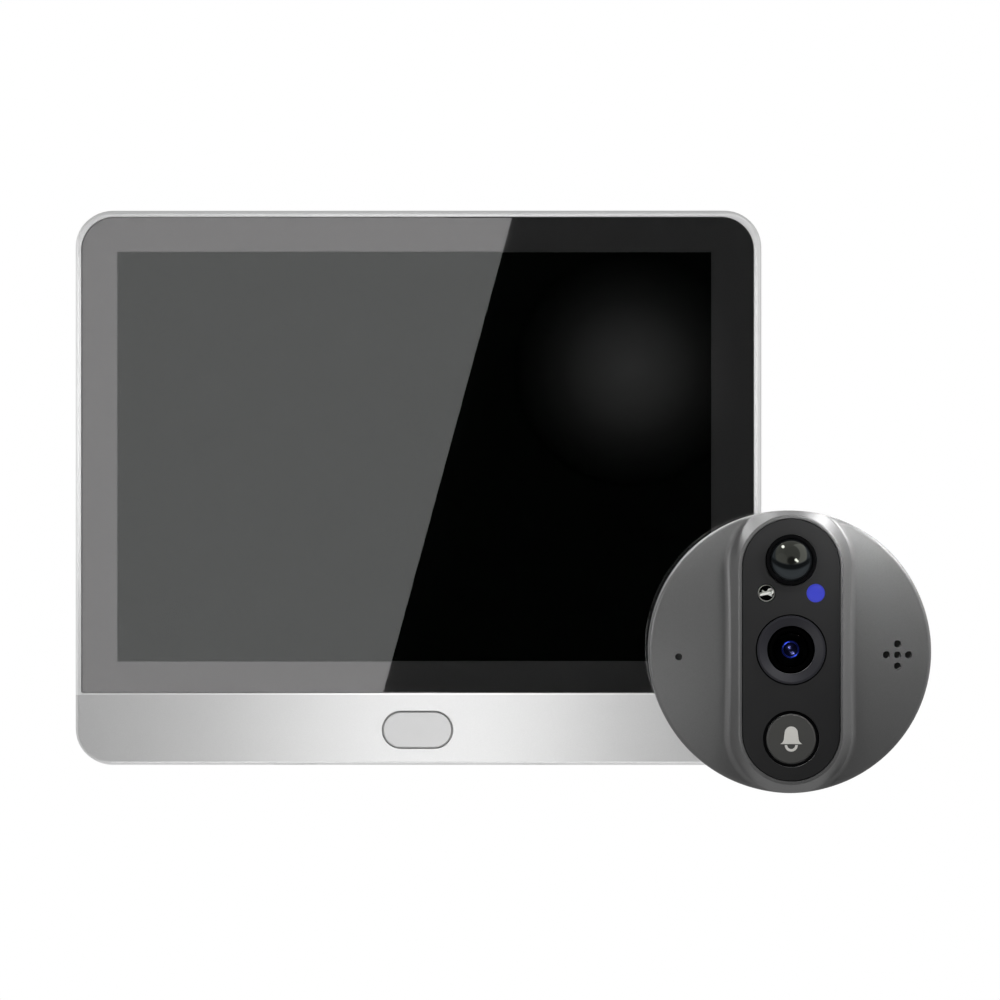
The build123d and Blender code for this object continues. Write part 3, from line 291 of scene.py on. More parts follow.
def satin_silver(colour, cut_colour, cut_bottom, cut_front):
    """Silver paint: metal flakes in a satin lacquer, and a brighter cut edge all round the glass."""
    g = Graph("satin_silver")
    grey = g.red(g.cells(0.11, "F1", "Color"))
    cloud = g.noise(18.0, 3.0)
    paint = g.mixed(grey * 0.5 + cloud * 0.5, shaded(colour, 0.95), shaded(colour, 1.05))
    cut = (g.axis("Z") > cut_bottom / MM) * (g.axis("Y") < -cut_front / MM)
    base = g.mixed(cut, paint, cut_colour)
    return g.surface(Base_Color=base, Metallic=0.55 - cut * 0.2, Roughness=grey * 0.05 + 0.42 - cut * 0.08,
                     Normal=g.bump(grey * 0.6 + g.noise(0.5, 2.0) * 0.4, 0.0025))


def silver_key(colour):
    """The key's smoother silver."""
    g = Graph("silver_key")
    cloud = g.noise(2.5, 4.0)
    base = g.mixed(cloud, shaded(colour, 0.97), shaded(colour, 1.02))
    return g.surface(Base_Color=base, Metallic=0.45, Roughness=cloud * 0.06 + 0.4,
                     Normal=g.bump(g.noise(0.14, 2.0), 0.002))


def black_border():
    """The black print behind the glass."""
    g = Graph("black_border")
    dust = g.cells(0.3, "F1")
    base = g.mixed(g.noise(20.0, 2.0), (0.063, 0.0625, 0.0625), (0.068, 0.0675, 0.0675))
    return g.surface(Base_Color=base, Roughness=dust * 0.01 + 0.015, Specular_IOR_Level=1.0, IOR=1.545,
                     Specular_Tint=(1.0, 0.92, 0.95))


def display_dark():
    """The switched-off display: black cells in a fine dark grid under a polarizing film."""
    g = Graph("display_dark")
    grid = (g.axis("X").zigzag(0.12) < 0.02).highest(g.axis("Z").zigzag(0.12) < 0.02)
    cell = g.mixed(g.noise(25.0, 3.0), (0.0007, 0.0017, 0.0009), (0.001, 0.0021, 0.0012))
    base = g.mixed(grid, cell, (0.0016, 0.0022, 0.002))
    return g.surface(Base_Color=base, Roughness=g.noise(12.0, 2.0) * 0.02 + 0.03, Specular_IOR_Level=0.02)


def window_line():
    """The dark grey edge of the display's film."""
    g = Graph("window_line")
    base = g.mixed(g.noise(0.8, 3.0), (0.016, 0.017, 0.017), (0.026, 0.027, 0.028))
    return g.surface(Base_Color=base, Roughness=0.35, Normal=g.bump(g.noise(0.1, 2.0), 0.003))


def battery_foil():
    """Foil pouch: creased silver-grey with a soft sheen."""
    g = Graph("battery_foil")
    folds = g.stretched(g.cells(6.0, "DISTANCE_TO_EDGE"), 0.0, 0.08)
    base = g.mixed(g.noise(8.0, 4.0), (0.3, 0.32, 0.35), (0.42, 0.44, 0.46))
    return g.surface(Base_Color=base, Metallic=0.85, Roughness=g.noise(2.0, 4.0) * 0.2 + 0.28,
                     Normal=g.bump(folds * 0.5 + g.noise(1.2, 3.0) * 0.5, 0.08))


# Finishes of the camera unit

def grey_paint(colour):
    """Satin dark grey paint with a fine metallic grain."""
    g = Graph("grey_paint")
    flake = g.red(g.cells(0.09, "F1", "Color"))
    cloud = g.noise(16.0, 4.0)
    base = g.mixed(flake * 0.6 + cloud * 0.4, shaded(colour, 0.86), shaded(colour, 1.14))
    return g.surface(Base_Color=base, Metallic=0.35, Roughness=cloud * 0.05 + 0.4,
                     Normal=g.bump(flake * 0.5 + g.noise(0.25, 2.0) * 0.5, 0.004))


def panel_black(colour):
    """Satin black panel with a very fine texture."""
    g = Graph("panel_black")
    texture = g.noise(0.09, 2.0)
    base = g.mixed(g.noise(12.0, 3.0), shaded(colour, 0.92), shaded(colour, 1.08))
    return g.surface(Base_Color=base, Roughness=g.noise(4.0, 3.0) * 0.06 + 0.42, Specular_IOR_Level=0.3,
                     Normal=g.bump(texture, 0.003))


def matt_black(name):
    """Flocked black that gives almost nothing back."""
    g = Graph(name)
    fibre = g.noise(0.08, 2.0)
    base = g.mixed(fibre, (0.0006, 0.0006, 0.0007), (0.0022, 0.0022, 0.0025))
    return g.surface(Base_Color=base, Roughness=fibre * 0.2 + 0.7, Specular_IOR_Level=0.02,
                     Normal=g.bump(fibre, 0.01))


def gauze_weave(name):
    """Fine black nylon weave."""
    g = Graph(name)
    thread = g.axis("X").zigzag(0.09).highest(g.axis("Z").zigzag(0.09)) * 11.0
    base = g.mixed(thread, (0.12, 0.12, 0.121), (0.33, 0.33, 0.332))
    return g.surface(Base_Color=base, Roughness=0.7 - thread * 0.15, Normal=g.bump(thread, 0.04))


def lens_coating(tint, blue):
    """Coated glass over a dark lens: near black, with a blue reflection, and a painted sheen that makes the
    base colour three times lighter at the outline.
    """
    g = Graph("coated_lens")
    # Painted sheen: the base colour is three times lighter at the outline.
    base = g.mixed(g.facing(0.35), tint, shaded(tint, 3.0))
    polish = g.noise(0.6, 3.0) * 0.02 + 0.17
    return g.surface(Base_Color=base, Roughness=polish, IOR=1.6, Specular_Tint=blue)


def smoked_dome():
    """The motion sensor's smoked lens: near black and highly polished, with a painted sheen that lightens
    the base colour towards its outline.
    """
    g = Graph("dome_dark")
    smoke = g.noise(2.5, 3.0)
    dark = g.mixed(smoke, (0.0015, 0.0018, 0.002), (0.003, 0.0035, 0.0038))
    # Painted sheen: the base colour turns from near black to a pale grey-blue towards the outline, standing
    # in for light seen through the smoky rim.
    base = g.mixed(g.stretched(g.facing(0.5), 0.3, 0.48), dark, (0.035, 0.039, 0.043))
    return g.surface(Base_Color=base, Roughness=smoke * 0.01 + 0.02, IOR=1.5)


def status_blue(colour):
    """Milky blue lamp that glows evenly."""
    g = Graph("lamp_blue")
    glow = g.mixed(g.noise(1.1, 3.0), shaded(colour, 0.94), shaded(colour, 1.05))
    return g.surface(Base_Color=shaded(colour, 0.6), Roughness=0.35, Emission_Color=glow,
                     Emission_Strength=0.68, Normal=g.bump(g.noise(0.3, 2.0), 0.004))


def sensor_chip():
    """An image sensor: a faint grid, and a painted sheen in the base colour that turns from green to violet
    with the angle of view.
    """
    g = Graph("sensor_chip")
    # Painted sheen: the base colour turns from green to violet towards the outline.
    painted_sheen_tint = g.mixed(g.facing(0.5), (0.03, 0.09, 0.06), (0.08, 0.03, 0.14))
    base = g.mixed(g.axis("X").zigzag(0.05) * 8.0, painted_sheen_tint, (0.02, 0.02, 0.03))
    return g.surface(Base_Color=base, Metallic=0.6, Roughness=0.18, Normal=g.bump(g.noise(0.2, 2.0), 0.001))


def button_grey(colour):
    """The call button's smooth warm dark grey."""
    g = Graph("button_grey")
    base = g.mixed(g.noise(5.0, 3.0), shaded(colour, 0.95), shaded(colour, 1.05))
    return g.surface(Base_Color=base, Roughness=g.noise(2.0, 3.0) * 0.06 + 0.46,
                     Normal=g.bump(g.noise(0.12, 2.0), 0.002))


# Places taken from the frame

def centre(node):
    """The middle of a CAD node's box."""
    low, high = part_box(node)
    return [(first + last) / 2 for first, last in zip(low, high)]


def front_of(node):
    """How far the front of a CAD node is from the door."""
    return -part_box(node)[0].y


def give(material, *nodes):
    """Puts a finish in every slot of these CAD nodes."""
    for node in nodes:
        for slot in frame["nodes"][node].material_slots:
            slot.material = material


# Modelling helpers

def start(kind="plane", **sizes):
    """A new primitive, alone in the selection."""
    if bpy.context.object is not None and bpy.context.object.mode != "OBJECT":
        bpy.ops.object.mode_set(mode="OBJECT")
    bpy.ops.object.select_all(action="DESELECT")
    getattr(bpy.ops.mesh, "primitive_" + kind + "_add")(**sizes)
    return bpy.context.object


def choose(test, kind="VERT"):
    """Selects in edit mode the vertices or edges whose middle passes the test."""
    bpy.ops.mesh.select_mode(type=kind)
    bpy.ops.mesh.select_all(action="DESELECT")
    piece = bpy.context.object
    mesh = bmesh.from_edit_mesh(piece.data)
    for item in {"VERT": mesh.verts, "EDGE": mesh.edges}[kind]:
        corners = [item] if kind == "VERT" else item.verts
        middle = sum((corner.co for corner in corners), Vector()) / len(corners)
        item.select_set(bool(test(piece.matrix_world @ middle, item)))
    mesh.select_flush_mode()
    bmesh.update_edit_mesh(piece.data)


def finished(name, body, material, angle=30.0):
    """The piece at the origin, unturned and unscaled, smooth where it is round, and riding on its body."""
    bpy.ops.object.mode_set(mode="OBJECT")
    piece = bpy.context.object
    piece.name = name
    piece.data.name = name
    bpy.ops.object.transform_apply(location=True, rotation=True, scale=True)
    bpy.ops.object.shade_smooth_by_angle(angle=math.radians(angle))
    piece.data.materials.clear()
    piece.data.materials.append(material)
    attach(piece, body)
    return piece


def turned(x, z, profile, sides=96):
    """A turned solid: the profile is a closed row of (radius, distance from the door) in metres."""
    radius, distance = profile[0]
    piece = start("circle", vertices=sides, radius=radius, location=(x, -distance, z),
                  rotation=(math.pi / 2, 0, 0))
    bpy.ops.object.mode_set(mode="EDIT")
    bpy.ops.mesh.select_all(action="SELECT")
    for (old_radius, old), (new_radius, new) in zip(profile, profile[1:] + profile[:1]):
        bpy.ops.mesh.extrude_edges_move(TRANSFORM_OT_translate={"value": (0, old - new, 0)})
        share = new_radius / old_radius
        bpy.ops.transform.resize(value=(share, 1, share), center_override=(x, -new, z))
    bpy.ops.mesh.select_all(action="SELECT")
    bpy.ops.mesh.remove_doubles(threshold=0.002 * MM)
    bpy.ops.mesh.normals_make_consistent(inside=False)
    return piece


def hoop(radius, thick, distance, count):
    """The profile of a hoop of round wire that lies that far from the door."""
    turns = [index * 2 * math.pi / count for index in range(count)]
    return [(radius + thick * math.cos(turn), distance + thick * math.sin(turn)) for turn in turns]


def behind(front, pairs):
    """A profile from pairs of (radius, depth behind the front) in millimetres."""
    return [(radius * MM, front - depth * MM) for radius, depth in pairs]


def upright_sheet(low, high, front):
    """A flat sheet facing the viewer, that far in front of the door, from corner (x, z) to corner."""
    middle = ((low[0] + high[0]) / 2, -front, (low[1] + high[1]) / 2)
    piece = start("plane", size=1.0, location=middle, rotation=(math.pi / 2, 0, 0))
    piece.scale = (high[0] - low[0], high[1] - low[1], 1.0)
    bpy.ops.object.transform_apply(location=True, rotation=True, scale=True)
    bpy.ops.object.mode_set(mode="EDIT")
    return piece


def choose_piece(piece):
    """Makes a piece the only one selected."""
    if bpy.context.object is not None and bpy.context.object.mode != "OBJECT":
        bpy.ops.object.mode_set(mode="OBJECT")
    bpy.ops.object.select_all(action="DESELECT")
    bpy.context.view_layer.objects.active = piece
    piece.select_set(True)


def with_copies(source, offsets):
    """A piece and its copies, each of them with its own mesh and moved by its offset."""
    pieces = [source]
    for offset in offsets:
        choose_piece(source)
        bpy.ops.object.duplicate(linked=False)
        bpy.ops.transform.translate(value=offset)
        pieces.append(bpy.context.object)
    return pieces


def thicken(depth):
    """Extrudes all that there is away from the viewer, and turns the faces outwards."""
    bpy.ops.mesh.select_all(action="SELECT")
    bpy.ops.mesh.extrude_region_move(TRANSFORM_OT_translate={"value": (0, depth, 0)})
    bpy.ops.mesh.select_all(action="SELECT")
    bpy.ops.mesh.normals_make_consistent(inside=False)


def edges_at(front):
    """A test for edges that lie wholly in the plane at that distance from the door."""
    return lambda middle, edge: all(abs(corner.co.y + front) < 0.005 * MM for corner in edge.verts)


# Settings

def a_colour(name, description, default):
    """A setting for a colour."""
    return FloatVectorProperty(name=name, description=description, subtype="COLOR", size=3,
                               default=default, min=0, max=1)


def a_length(name, description, default, least):
    """A setting for a length in metres."""
    return FloatProperty(name=name, description=description, default=default, min=least, unit="LENGTH")


def a_power(name, description, default):
    """A setting for the power of a light."""
    return FloatProperty(name=name, description=description, default=default, min=0, unit="POWER")


def a_brightness(name, description, default):
    """A setting for the brightness of a glowing surface."""
    return FloatProperty(name=name, description=description, default=default, min=0)


class MonitorSettings(bpy.types.PropertyGroup):
    silver: a_colour("Silver", "Colour of the front casing's paint", (0.67, 0.67, 0.67))
    key_silver: a_colour("Key silver", "Colour of the key on the lower strip", (0.52, 0.52, 0.52))
    case_dark: a_colour("Rear cover", "Colour of the rear cover", (0.03, 0.031, 0.033))
    cut_silver: a_colour("Cut edge", "Colour of the bright cut edge round the glass", (0.86, 0.86, 0.86))
    rim_width: a_length("Bright edge", "Width of the bright cut edge below the glass", 0.00045, 0.0001)
    glass_corner: a_length("Glass corner", "Radius of the glass's two upper corners", 0.0067, 0.0005)
    line_width: a_length("Window line", "Width of the film's edge round the window", 0.00012, 0.00005)


class CameraSettings(bpy.types.PropertyGroup):
    paint: a_colour("Casing paint", "Colour of the round casing's paint", (0.088, 0.088, 0.088))
    panel: a_colour("Panel", "Colour of the front panel", (0.0085, 0.0085, 0.0088))
    ring: a_colour("Lens ring", "Colour of the ring round the lens", (0.0135, 0.0135, 0.0165))
    button: a_colour("Call button", "Colour of the call button", (0.031, 0.031, 0.029))
    lamp: a_colour("Status lamp", "Colour of the status lamp's glow", (0.056, 0.068, 0.58))
    sound_hole: a_length("Sound hole", "Radius of the casing's sound holes", 0.0007, 0.0003)
    hole_inset: a_length("Hole inset", "Distance from the casing's right edge to the middle sound hole",
                         0.00685, 0.002)
    hole_pitch: a_length("Hole pitch", "Distance between neighbouring sound holes", 0.00222, 0.001)
    ring_radius: a_length("Lens ring", "Radius of the ring that shows round the lens", 0.0068, 0.005)
    steps: IntProperty(name="Baffle steps", description="Number of steps in the lens's light baffle",
                       default=4, min=1, max=12)


class StudioSettings(bpy.types.PropertyGroup):
    azimuth: FloatProperty(name="Azimuth", description="How far the camera stands round to the right",
                           subtype="ANGLE", default=math.radians(0.4))
    target: FloatVectorProperty(name="Camera target", description="Point that the camera looks at",
                                subtype="XYZ", unit="LENGTH", size=3, default=(0.01681, -0.017, -0.006))
    distance: a_length("Camera distance", "Distance from the camera to the monitor's front", 1.2, 0.2)
    pixels_per_mm: FloatProperty(name="Scale",
                                 description="Pixels per millimetre at the monitor's front, in a picture "
                                             "1000 pixels wide", default=4.905, min=0.1)
    key_power: a_power("Key light", "Power of the light at the upper right", 2.2)
    fill_power: a_power("Fill light", "Power of the broad light at the left", 1.8)
    floor_power: a_power("Floor light", "Power of the light over the floor", 12.0)
    strip_power: a_power("Strip light", "Power of the light that grades the lower strip", 0.096)
    near_power: a_power("Near light", "Power of the small light near the round unit", 0.038)
    shoulder_power: a_power("Shoulder light", "Power of the light on the ridge's shoulders", 0.4)
    lens_power: a_power("Lens light", "Power of each small light on the inner lens", 0.02)
    rim_power: a_power("Rim light", "Power of each light beside the monitor's rim", 0.008)
    card_glow: a_brightness("Reflected card", "Brightness of the card that the glass mirrors", 1.3)
    spot_glow: a_brightness("Reflected spot", "Brightness of the soft spot in the glass", 0.29)


# Operators, one for each piece or group of like pieces

class DOORCAM_OT_casings(bpy.types.Operator):
    """Finishes of the monitor's casings, bracket, pads and screws"""
    bl_idname = "doorcam.casings"
    bl_label = "Monitor casings"

    def execute(self, context):
        look = context.scene.doorcam_monitor
        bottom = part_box("display_glass")[0].z - look.rim_width
        front = front_of("front_shell") - 2 * look.rim_width
        give(satin_silver(look.silver, look.cut_silver, bottom, front), "front_shell")
        give(silver_key(look.key_silver), "home_button")
        give(moulded("dark_case", look.case_dark, 0.55, 0.4, 0.02), "rear_cover")
        give(worked_metal("bracket_steel", (0.56, 0.56, 0.57), 0.34, (1.0, 1.0, 16.0), 0.005, 0.12),
             "mounting_bracket")
        give(worked_metal("screw_steel", (0.5, 0.5, 0.51), 0.3, (1.0, 6.0, 1.0)),
             "rear_cover_screws", "board_screws", "back_plate_screws", "camera_board_screws")
        give(soft_rubber("soft_black", (0.008, 0.008, 0.008)), "rubber_pads", "door_seal", "cable_grommet")
        return {"FINISHED"}


class DOORCAM_OT_display(bpy.types.Operator):
    """Finishes of the display, and the front glass with its fine ground edge"""
    bl_idname = "doorcam.display"
    bl_label = "Display and glass"

    def execute(self, context):
        look = context.scene.doorcam_monitor
        give(black_border(), "display_gasket")
        give(display_dark(), "lcd_panel")
        give(worked_metal("tray_metal", (0.62, 0.62, 0.63), 0.4, (12.0, 1.0, 1.0), 0.004), "backlight_unit")
        low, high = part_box("display_glass")
        front, back = -low.y, -high.y
        upright_sheet((low.x, low.z), (high.x, high.z), front)
        middle = (low.z + high.z) / 2
        choose(lambda place, corner: place.z > middle)
        bpy.ops.mesh.bevel(offset=look.glass_corner, segments=24, profile=0.5, affect="VERTICES")
        foot = low.z + look.glass_corner
        choose(lambda place, corner: place.z < foot)
        bpy.ops.mesh.bevel(offset=0.4 * MM, segments=4, profile=0.5, affect="VERTICES")
        thicken(front - back - 0.02 * MM)
        choose(edges_at(front), "EDGE")
        bpy.ops.mesh.bevel(offset=0.12 * MM, segments=3, profile=0.5, affect="EDGES")
        clear = clear_solid("clear_glass", (0.985, 0.99, 0.99))
        glass = finished("front_glass", "monitor", clear, 12.0)
        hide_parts("display_glass")
        return {"FINISHED"}


class DOORCAM_OT_window_line(bpy.types.Operator):
    """The narrow edge of the film that shows round the display's window"""
    bl_idname = "doorcam.window_line"
    bl_label = "Window line"

    def execute(self, context):
        look = context.scene.doorcam_monitor
        low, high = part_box("lcd_panel")
        gap = 0.01 * MM
        border = 1.5 * MM + gap
        front, back = front_of("display_gasket") - 2 * gap, front_of("lcd_panel") + gap
        upright_sheet((low.x + border, low.z + border), (high.x - border, high.z - border), front)
        bpy.ops.mesh.select_mode(type="FACE")
        bpy.ops.mesh.select_all(action="SELECT")
        bpy.ops.mesh.inset(thickness=look.line_width)
        bpy.ops.mesh.delete(type="FACE")
        thicken(front - back)
        choose(edges_at(front), "EDGE")
        bpy.ops.mesh.bevel(offset=look.line_width / 4, segments=2, profile=0.5, affect="EDGES")
        finished("film_edge", "monitor", window_line())
        return {"FINISHED"}


class DOORCAM_OT_electronics(bpy.types.Operator):
    """Finishes of the boards, chips, battery, speakers, sockets and switches"""
    bl_idname = "doorcam.electronics"
    bl_label = "Electronics"

    def execute(self, context):
        give(circuit_board("board_green"), "main_board", "key_board", "camera_board")
        give(moulded("chip_black", (0.02, 0.02, 0.021), 0.42, 0.2, 0.006), "board_chips")
        give(moulded("connector_ivory", (0.62, 0.58, 0.47), 0.42, 0.3, 0.008),
             "cable_socket", "cable_header")
        give(battery_foil(), "battery_pack")
        give(moulded("speaker_black", (0.018, 0.018, 0.019), 0.6, 0.5, 0.02),
             "monitor_speaker", "camera_speaker")
        give(worked_metal("capsule_metal", (0.6, 0.6, 0.6), 0.3, (1.0, 1.0, 1.0), 0.003),
             "monitor_microphone", "camera_microphone")
        give(worked_metal("antenna_copper", (0.72, 0.4, 0.22), 0.3, (16.0, 1.0, 1.0), 0.003),
             "wifi_antenna")
        give(worked_metal("port_metal", (0.55, 0.55, 0.56), 0.28, (1.0, 1.0, 12.0), 0.003), "charging_port")
        give(moulded("switch_black", (0.014, 0.014, 0.014), 0.4, 0.3, 0.008),
             "home_button_switch", "power_switch", "bell_switch")
        give(moulded("knob_black", (0.02, 0.02, 0.02), 0.45, 0.2, 0.01), "power_switch_knob")
        return {"FINISHED"}


class DOORCAM_OT_casing(bpy.types.Operator):
    """Finishes of the round casing, its panel, back plate and inserts"""
    bl_idname = "doorcam.casing"
    bl_label = "Camera casing"

    def execute(self, context):
        look = context.scene.doorcam_camera
        give(grey_paint(look.paint), "camera_housing")
        give(panel_black(look.panel), "front_panel")
        give(moulded("plate_dark", (0.032, 0.033, 0.034), 0.55, 0.4, 0.02), "back_plate")
        give(worked_metal("insert_brass", (0.72, 0.53, 0.25), 0.25, (1.0, 8.0, 1.0)), "threaded_inserts")
        give(button_grey(look.button), "bell_button")
        # The seal is black rubber; its near-zero black is also painted shade, standing in for the shaded
        # groove round the call button.
        give(matt_black("seal_and_groove_shade"), "button_seal")
        give(moulded("sign_pale", (0.44, 0.434, 0.408), 0.45, 0.25, 0.004, 0.03), "bell_icon")
        return {"FINISHED"}


class DOORCAM_OT_gauze(bpy.types.Operator):
    """The discs of woven dust gauze at the inner ends of the casing's sound holes"""
    bl_idname = "doorcam.gauze"
    bl_label = "Sound gauze"

    def execute(self, context):
        look = context.scene.doorcam_camera
        weave = gauze_weave("gauze_black")
        x, _, z = centre("camera_microphone")
        gap, edge, depth = 0.02 * MM, 0.1 * MM, 0.3 * MM
        wall, radius = front_of("camera_speaker") + gap, look.sound_hole - gap
        disc = [(gap / 2, wall), (gap / 2, wall + depth), (radius - edge, wall + depth - gap),
                (radius, wall + depth - edge), (radius, wall)]
        source = turned(x, z, disc, 32)
        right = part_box("camera_housing")[1].x - look.hole_inset
        height = centre("camera_speaker")[2]
        steps, pitch = ((0, 0), (-1, 0), (1, 0), (0, -1), (0, 1)), look.hole_pitch
        places = [(right + i * pitch - x, 0.0, height + k * pitch - z) for i, k in steps]
        for name, piece in zip(GAUZES, with_copies(source, places)):
            choose_piece(piece)
            finished(name, "camera_unit", weave)
        return {"FINISHED"}


class DOORCAM_OT_optics(bpy.types.Operator):
    """Finishes of the lens and its ring, and the stepped light baffle in front of the barrel"""
    bl_idname = "doorcam.optics"
    bl_label = "Lens"

    def execute(self, context):
        look = context.scene.doorcam_camera
        give(moulded("ring_black", look.ring, 0.4, 0.2, 0.004, 0.06, 0.25), "lens_ring")
        # This black finishes the barrel, the holder and the baffle, and also the washer round the lens ring
        # that stands in for the shade in its gap.
        black = matt_black("barrel_black")
        give(black, "lens_barrel", "lens_holder")
        give(clear_solid("lens_glass", (0.97, 0.98, 1.0), 0.0, 1.1), "front_lens")
        give(lens_coating((0.0005, 0.0006, 0.003), (0.32, 0.35, 1.0)), "rear_lens")
        give(sensor_chip(), "image_sensor")
        x, _, z = centre("lens_ring")
        low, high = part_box("lens_barrel")
        outer, inner, rise, seat = (high.x - low.x) / 2, 3.75 * MM, 0.16 * MM, -low.y + 0.02 * MM
        step = (outer - inner) / look.steps
        profile = [(outer, seat)]
        for index in range(look.steps):
            radius, level = outer - index * step, -low.y + (look.steps - index) * rise
            profile += [(radius, level), (radius - step, level)]
        turned(x, z, profile + [(inner, seat)])
        finished("lens_baffle", "camera_unit", black)
        # Painted shade: a thin matt black washer round the lens ring stands in for the shade in the gap
        # between the ring and the panel.
        ring, panel = look.ring_radius, front_of("front_panel")
        skin, crown = panel + 0.01 * MM, panel + 0.07 * MM
        turned(x, z, [(ring + 0.02 * MM, skin), (ring + 0.02 * MM, crown), (ring + 0.2 * MM, crown),
                      (ring + 0.28 * MM, skin)])
        finished("lens_ring_gap_shade", "camera_unit", black)
        # Painted reflection: a blue metal ring in front of the inner lens stands in for the blue reflection
        # of the lens's coating.
        turned(x, z, hoop(1.52 * MM, 0.16 * MM, front_of("rear_lens") - 0.1 * MM, 12), 64)
        blue = worked_metal("reflection_ring_blue", (0.010, 0.019, 0.18), 0.3, (1.0, 1.0, 1.0), 0.001)
        finished("blue_reflection_ring", "camera_unit", blue)
        return {"FINISHED"}


class DOORCAM_OT_sensors(bpy.types.Operator):
    """Finishes of the motion sensor, the light sensor and the lamps"""
    bl_idname = "doorcam.sensors"
    bl_label = "Sensors and lamps"

    def execute(self, context):
        look = context.scene.doorcam_camera
        give(matt_black("bezel_black"), "pir_bezel")
        give(smoked_dome(), "pir_dome")
        give(worked_metal("can_metal", (0.35, 0.36, 0.35), 0.2, (1.0, 8.0, 1.0)), "pir_sensor")
        give(clear_solid("sensor_clear", (0.93, 0.95, 0.93), 0.0, 1.5), "light_sensor")
        give(status_blue(look.lamp), "status_lamp")
        give(clear_solid("lamp_dark", (0.25, 0.1, 0.25), 0.05, 1.5, 0.8), "infrared_lamps")
        return {"FINISHED"}


class DOORCAM_OT_lead_frame(bpy.types.Operator):
    """The bright metal cup and posts inside the clear light sensor"""
    bl_idname = "doorcam.lead_frame"
    bl_label = "Light sensor's lead frame"

    def execute(self, context):
        x, _, z = centre("light_sensor")
        front = front_of("light_sensor")
        metal = worked_metal("lead_frame", (0.9, 0.9, 0.87), 0.3, (1.0, 1.0, 1.0), 0.004)
        cup = ((0.45, 2.2), (0.62, 1.0), (0.45, 1.0), (0.3, 1.5), (0.15, 1.55), (0.15, 2.2))
        turned(x + 0.72 * MM, z + 0.28 * MM, behind(front, cup), 32)
        finished("lead_frame_cup", "camera_unit", metal)
        # Each post has its name, left and right end, half its height and its depth in millimetres, and its
        # tilt in degrees.
        posts = (("wide", -1.35, 0.8, 0.34, 0.8, 12), ("narrow", -0.9, 1.2, 0.16, 1.1, -28))
        for name, left, right, half, depth, tilt in posts:
            low, high = (x + left * MM, z - half * MM), (x + right * MM, z + half * MM)
            upright_sheet(low, high, front - depth * MM)
            bpy.ops.mesh.select_all(action="SELECT")
            bpy.ops.transform.rotate(value=math.radians(tilt), orient_axis="Y", center_override=(x, 0, z))
            bpy.ops.mesh.inset(thickness=0.1 * MM, depth=-0.1 * MM)
            thicken(0.8 * MM)
            bpy.ops.mesh.select_all(action="SELECT")
            bpy.ops.mesh.bevel(offset=0.05 * MM, segments=2, affect="EDGES")
            finished("lead_frame_" + name, "camera_unit", metal)
        base = ((0.01, 2.9), (0.01, 2.5), (1.3, 2.5), (1.4, 2.6), (1.4, 2.9))
        turned(x, z, behind(front, base), 32)
        finished("sensor_base", "camera_unit", matt_black("sensor_black"))
        turned(x, z, hoop(1.42 * MM, 0.09 * MM, front - 1.9 * MM, 8), 48)
        finished("lead_frame_rim", "camera_unit", metal)
        return {"FINISHED"}


class DOORCAM_OT_port_contacts(bpy.types.Operator):
    """The row of gold contacts on the charging socket's tongue"""
    bl_idname = "doorcam.port_contacts"
    bl_label = "Socket contacts"

    def execute(self, context):
        x, y, _ = centre("charging_port")
        gold = worked_metal("contact_gold", (0.9, 0.68, 0.3), 0.2, (1.0, 1.0, 8.0), 0.001)
        count, pitch, width, length, rows = 8, 0.62 * MM, 0.34 * MM, 3.4 * MM, 0.7 * MM
        left = x - (count - 1) / 2 * pitch
        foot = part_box("charging_port")[0].z + 0.8 * MM
        upright_sheet((left - width / 2, foot), (left + width / 2, foot + length), -y - 0.32 * MM)
        thicken(0.06 * MM)
        choose(lambda place, edge: place.z < foot + 0.1 * MM, "EDGE")
        bpy.ops.mesh.bevel(offset=0.02 * MM, segments=1, affect="EDGES")
        places = [(index * pitch, -side * rows, 0.0) for index in range(count) for side in (0, 1)]
        for index, piece in enumerate(with_copies(bpy.context.object, places[1:])):
            number, side = divmod(index, 2)
            name = "port_contact_%d_%s" % (number + 1, ("back", "front")[side])
            choose_piece(piece)
            finished(name, "monitor", gold)
        return {"FINISHED"}


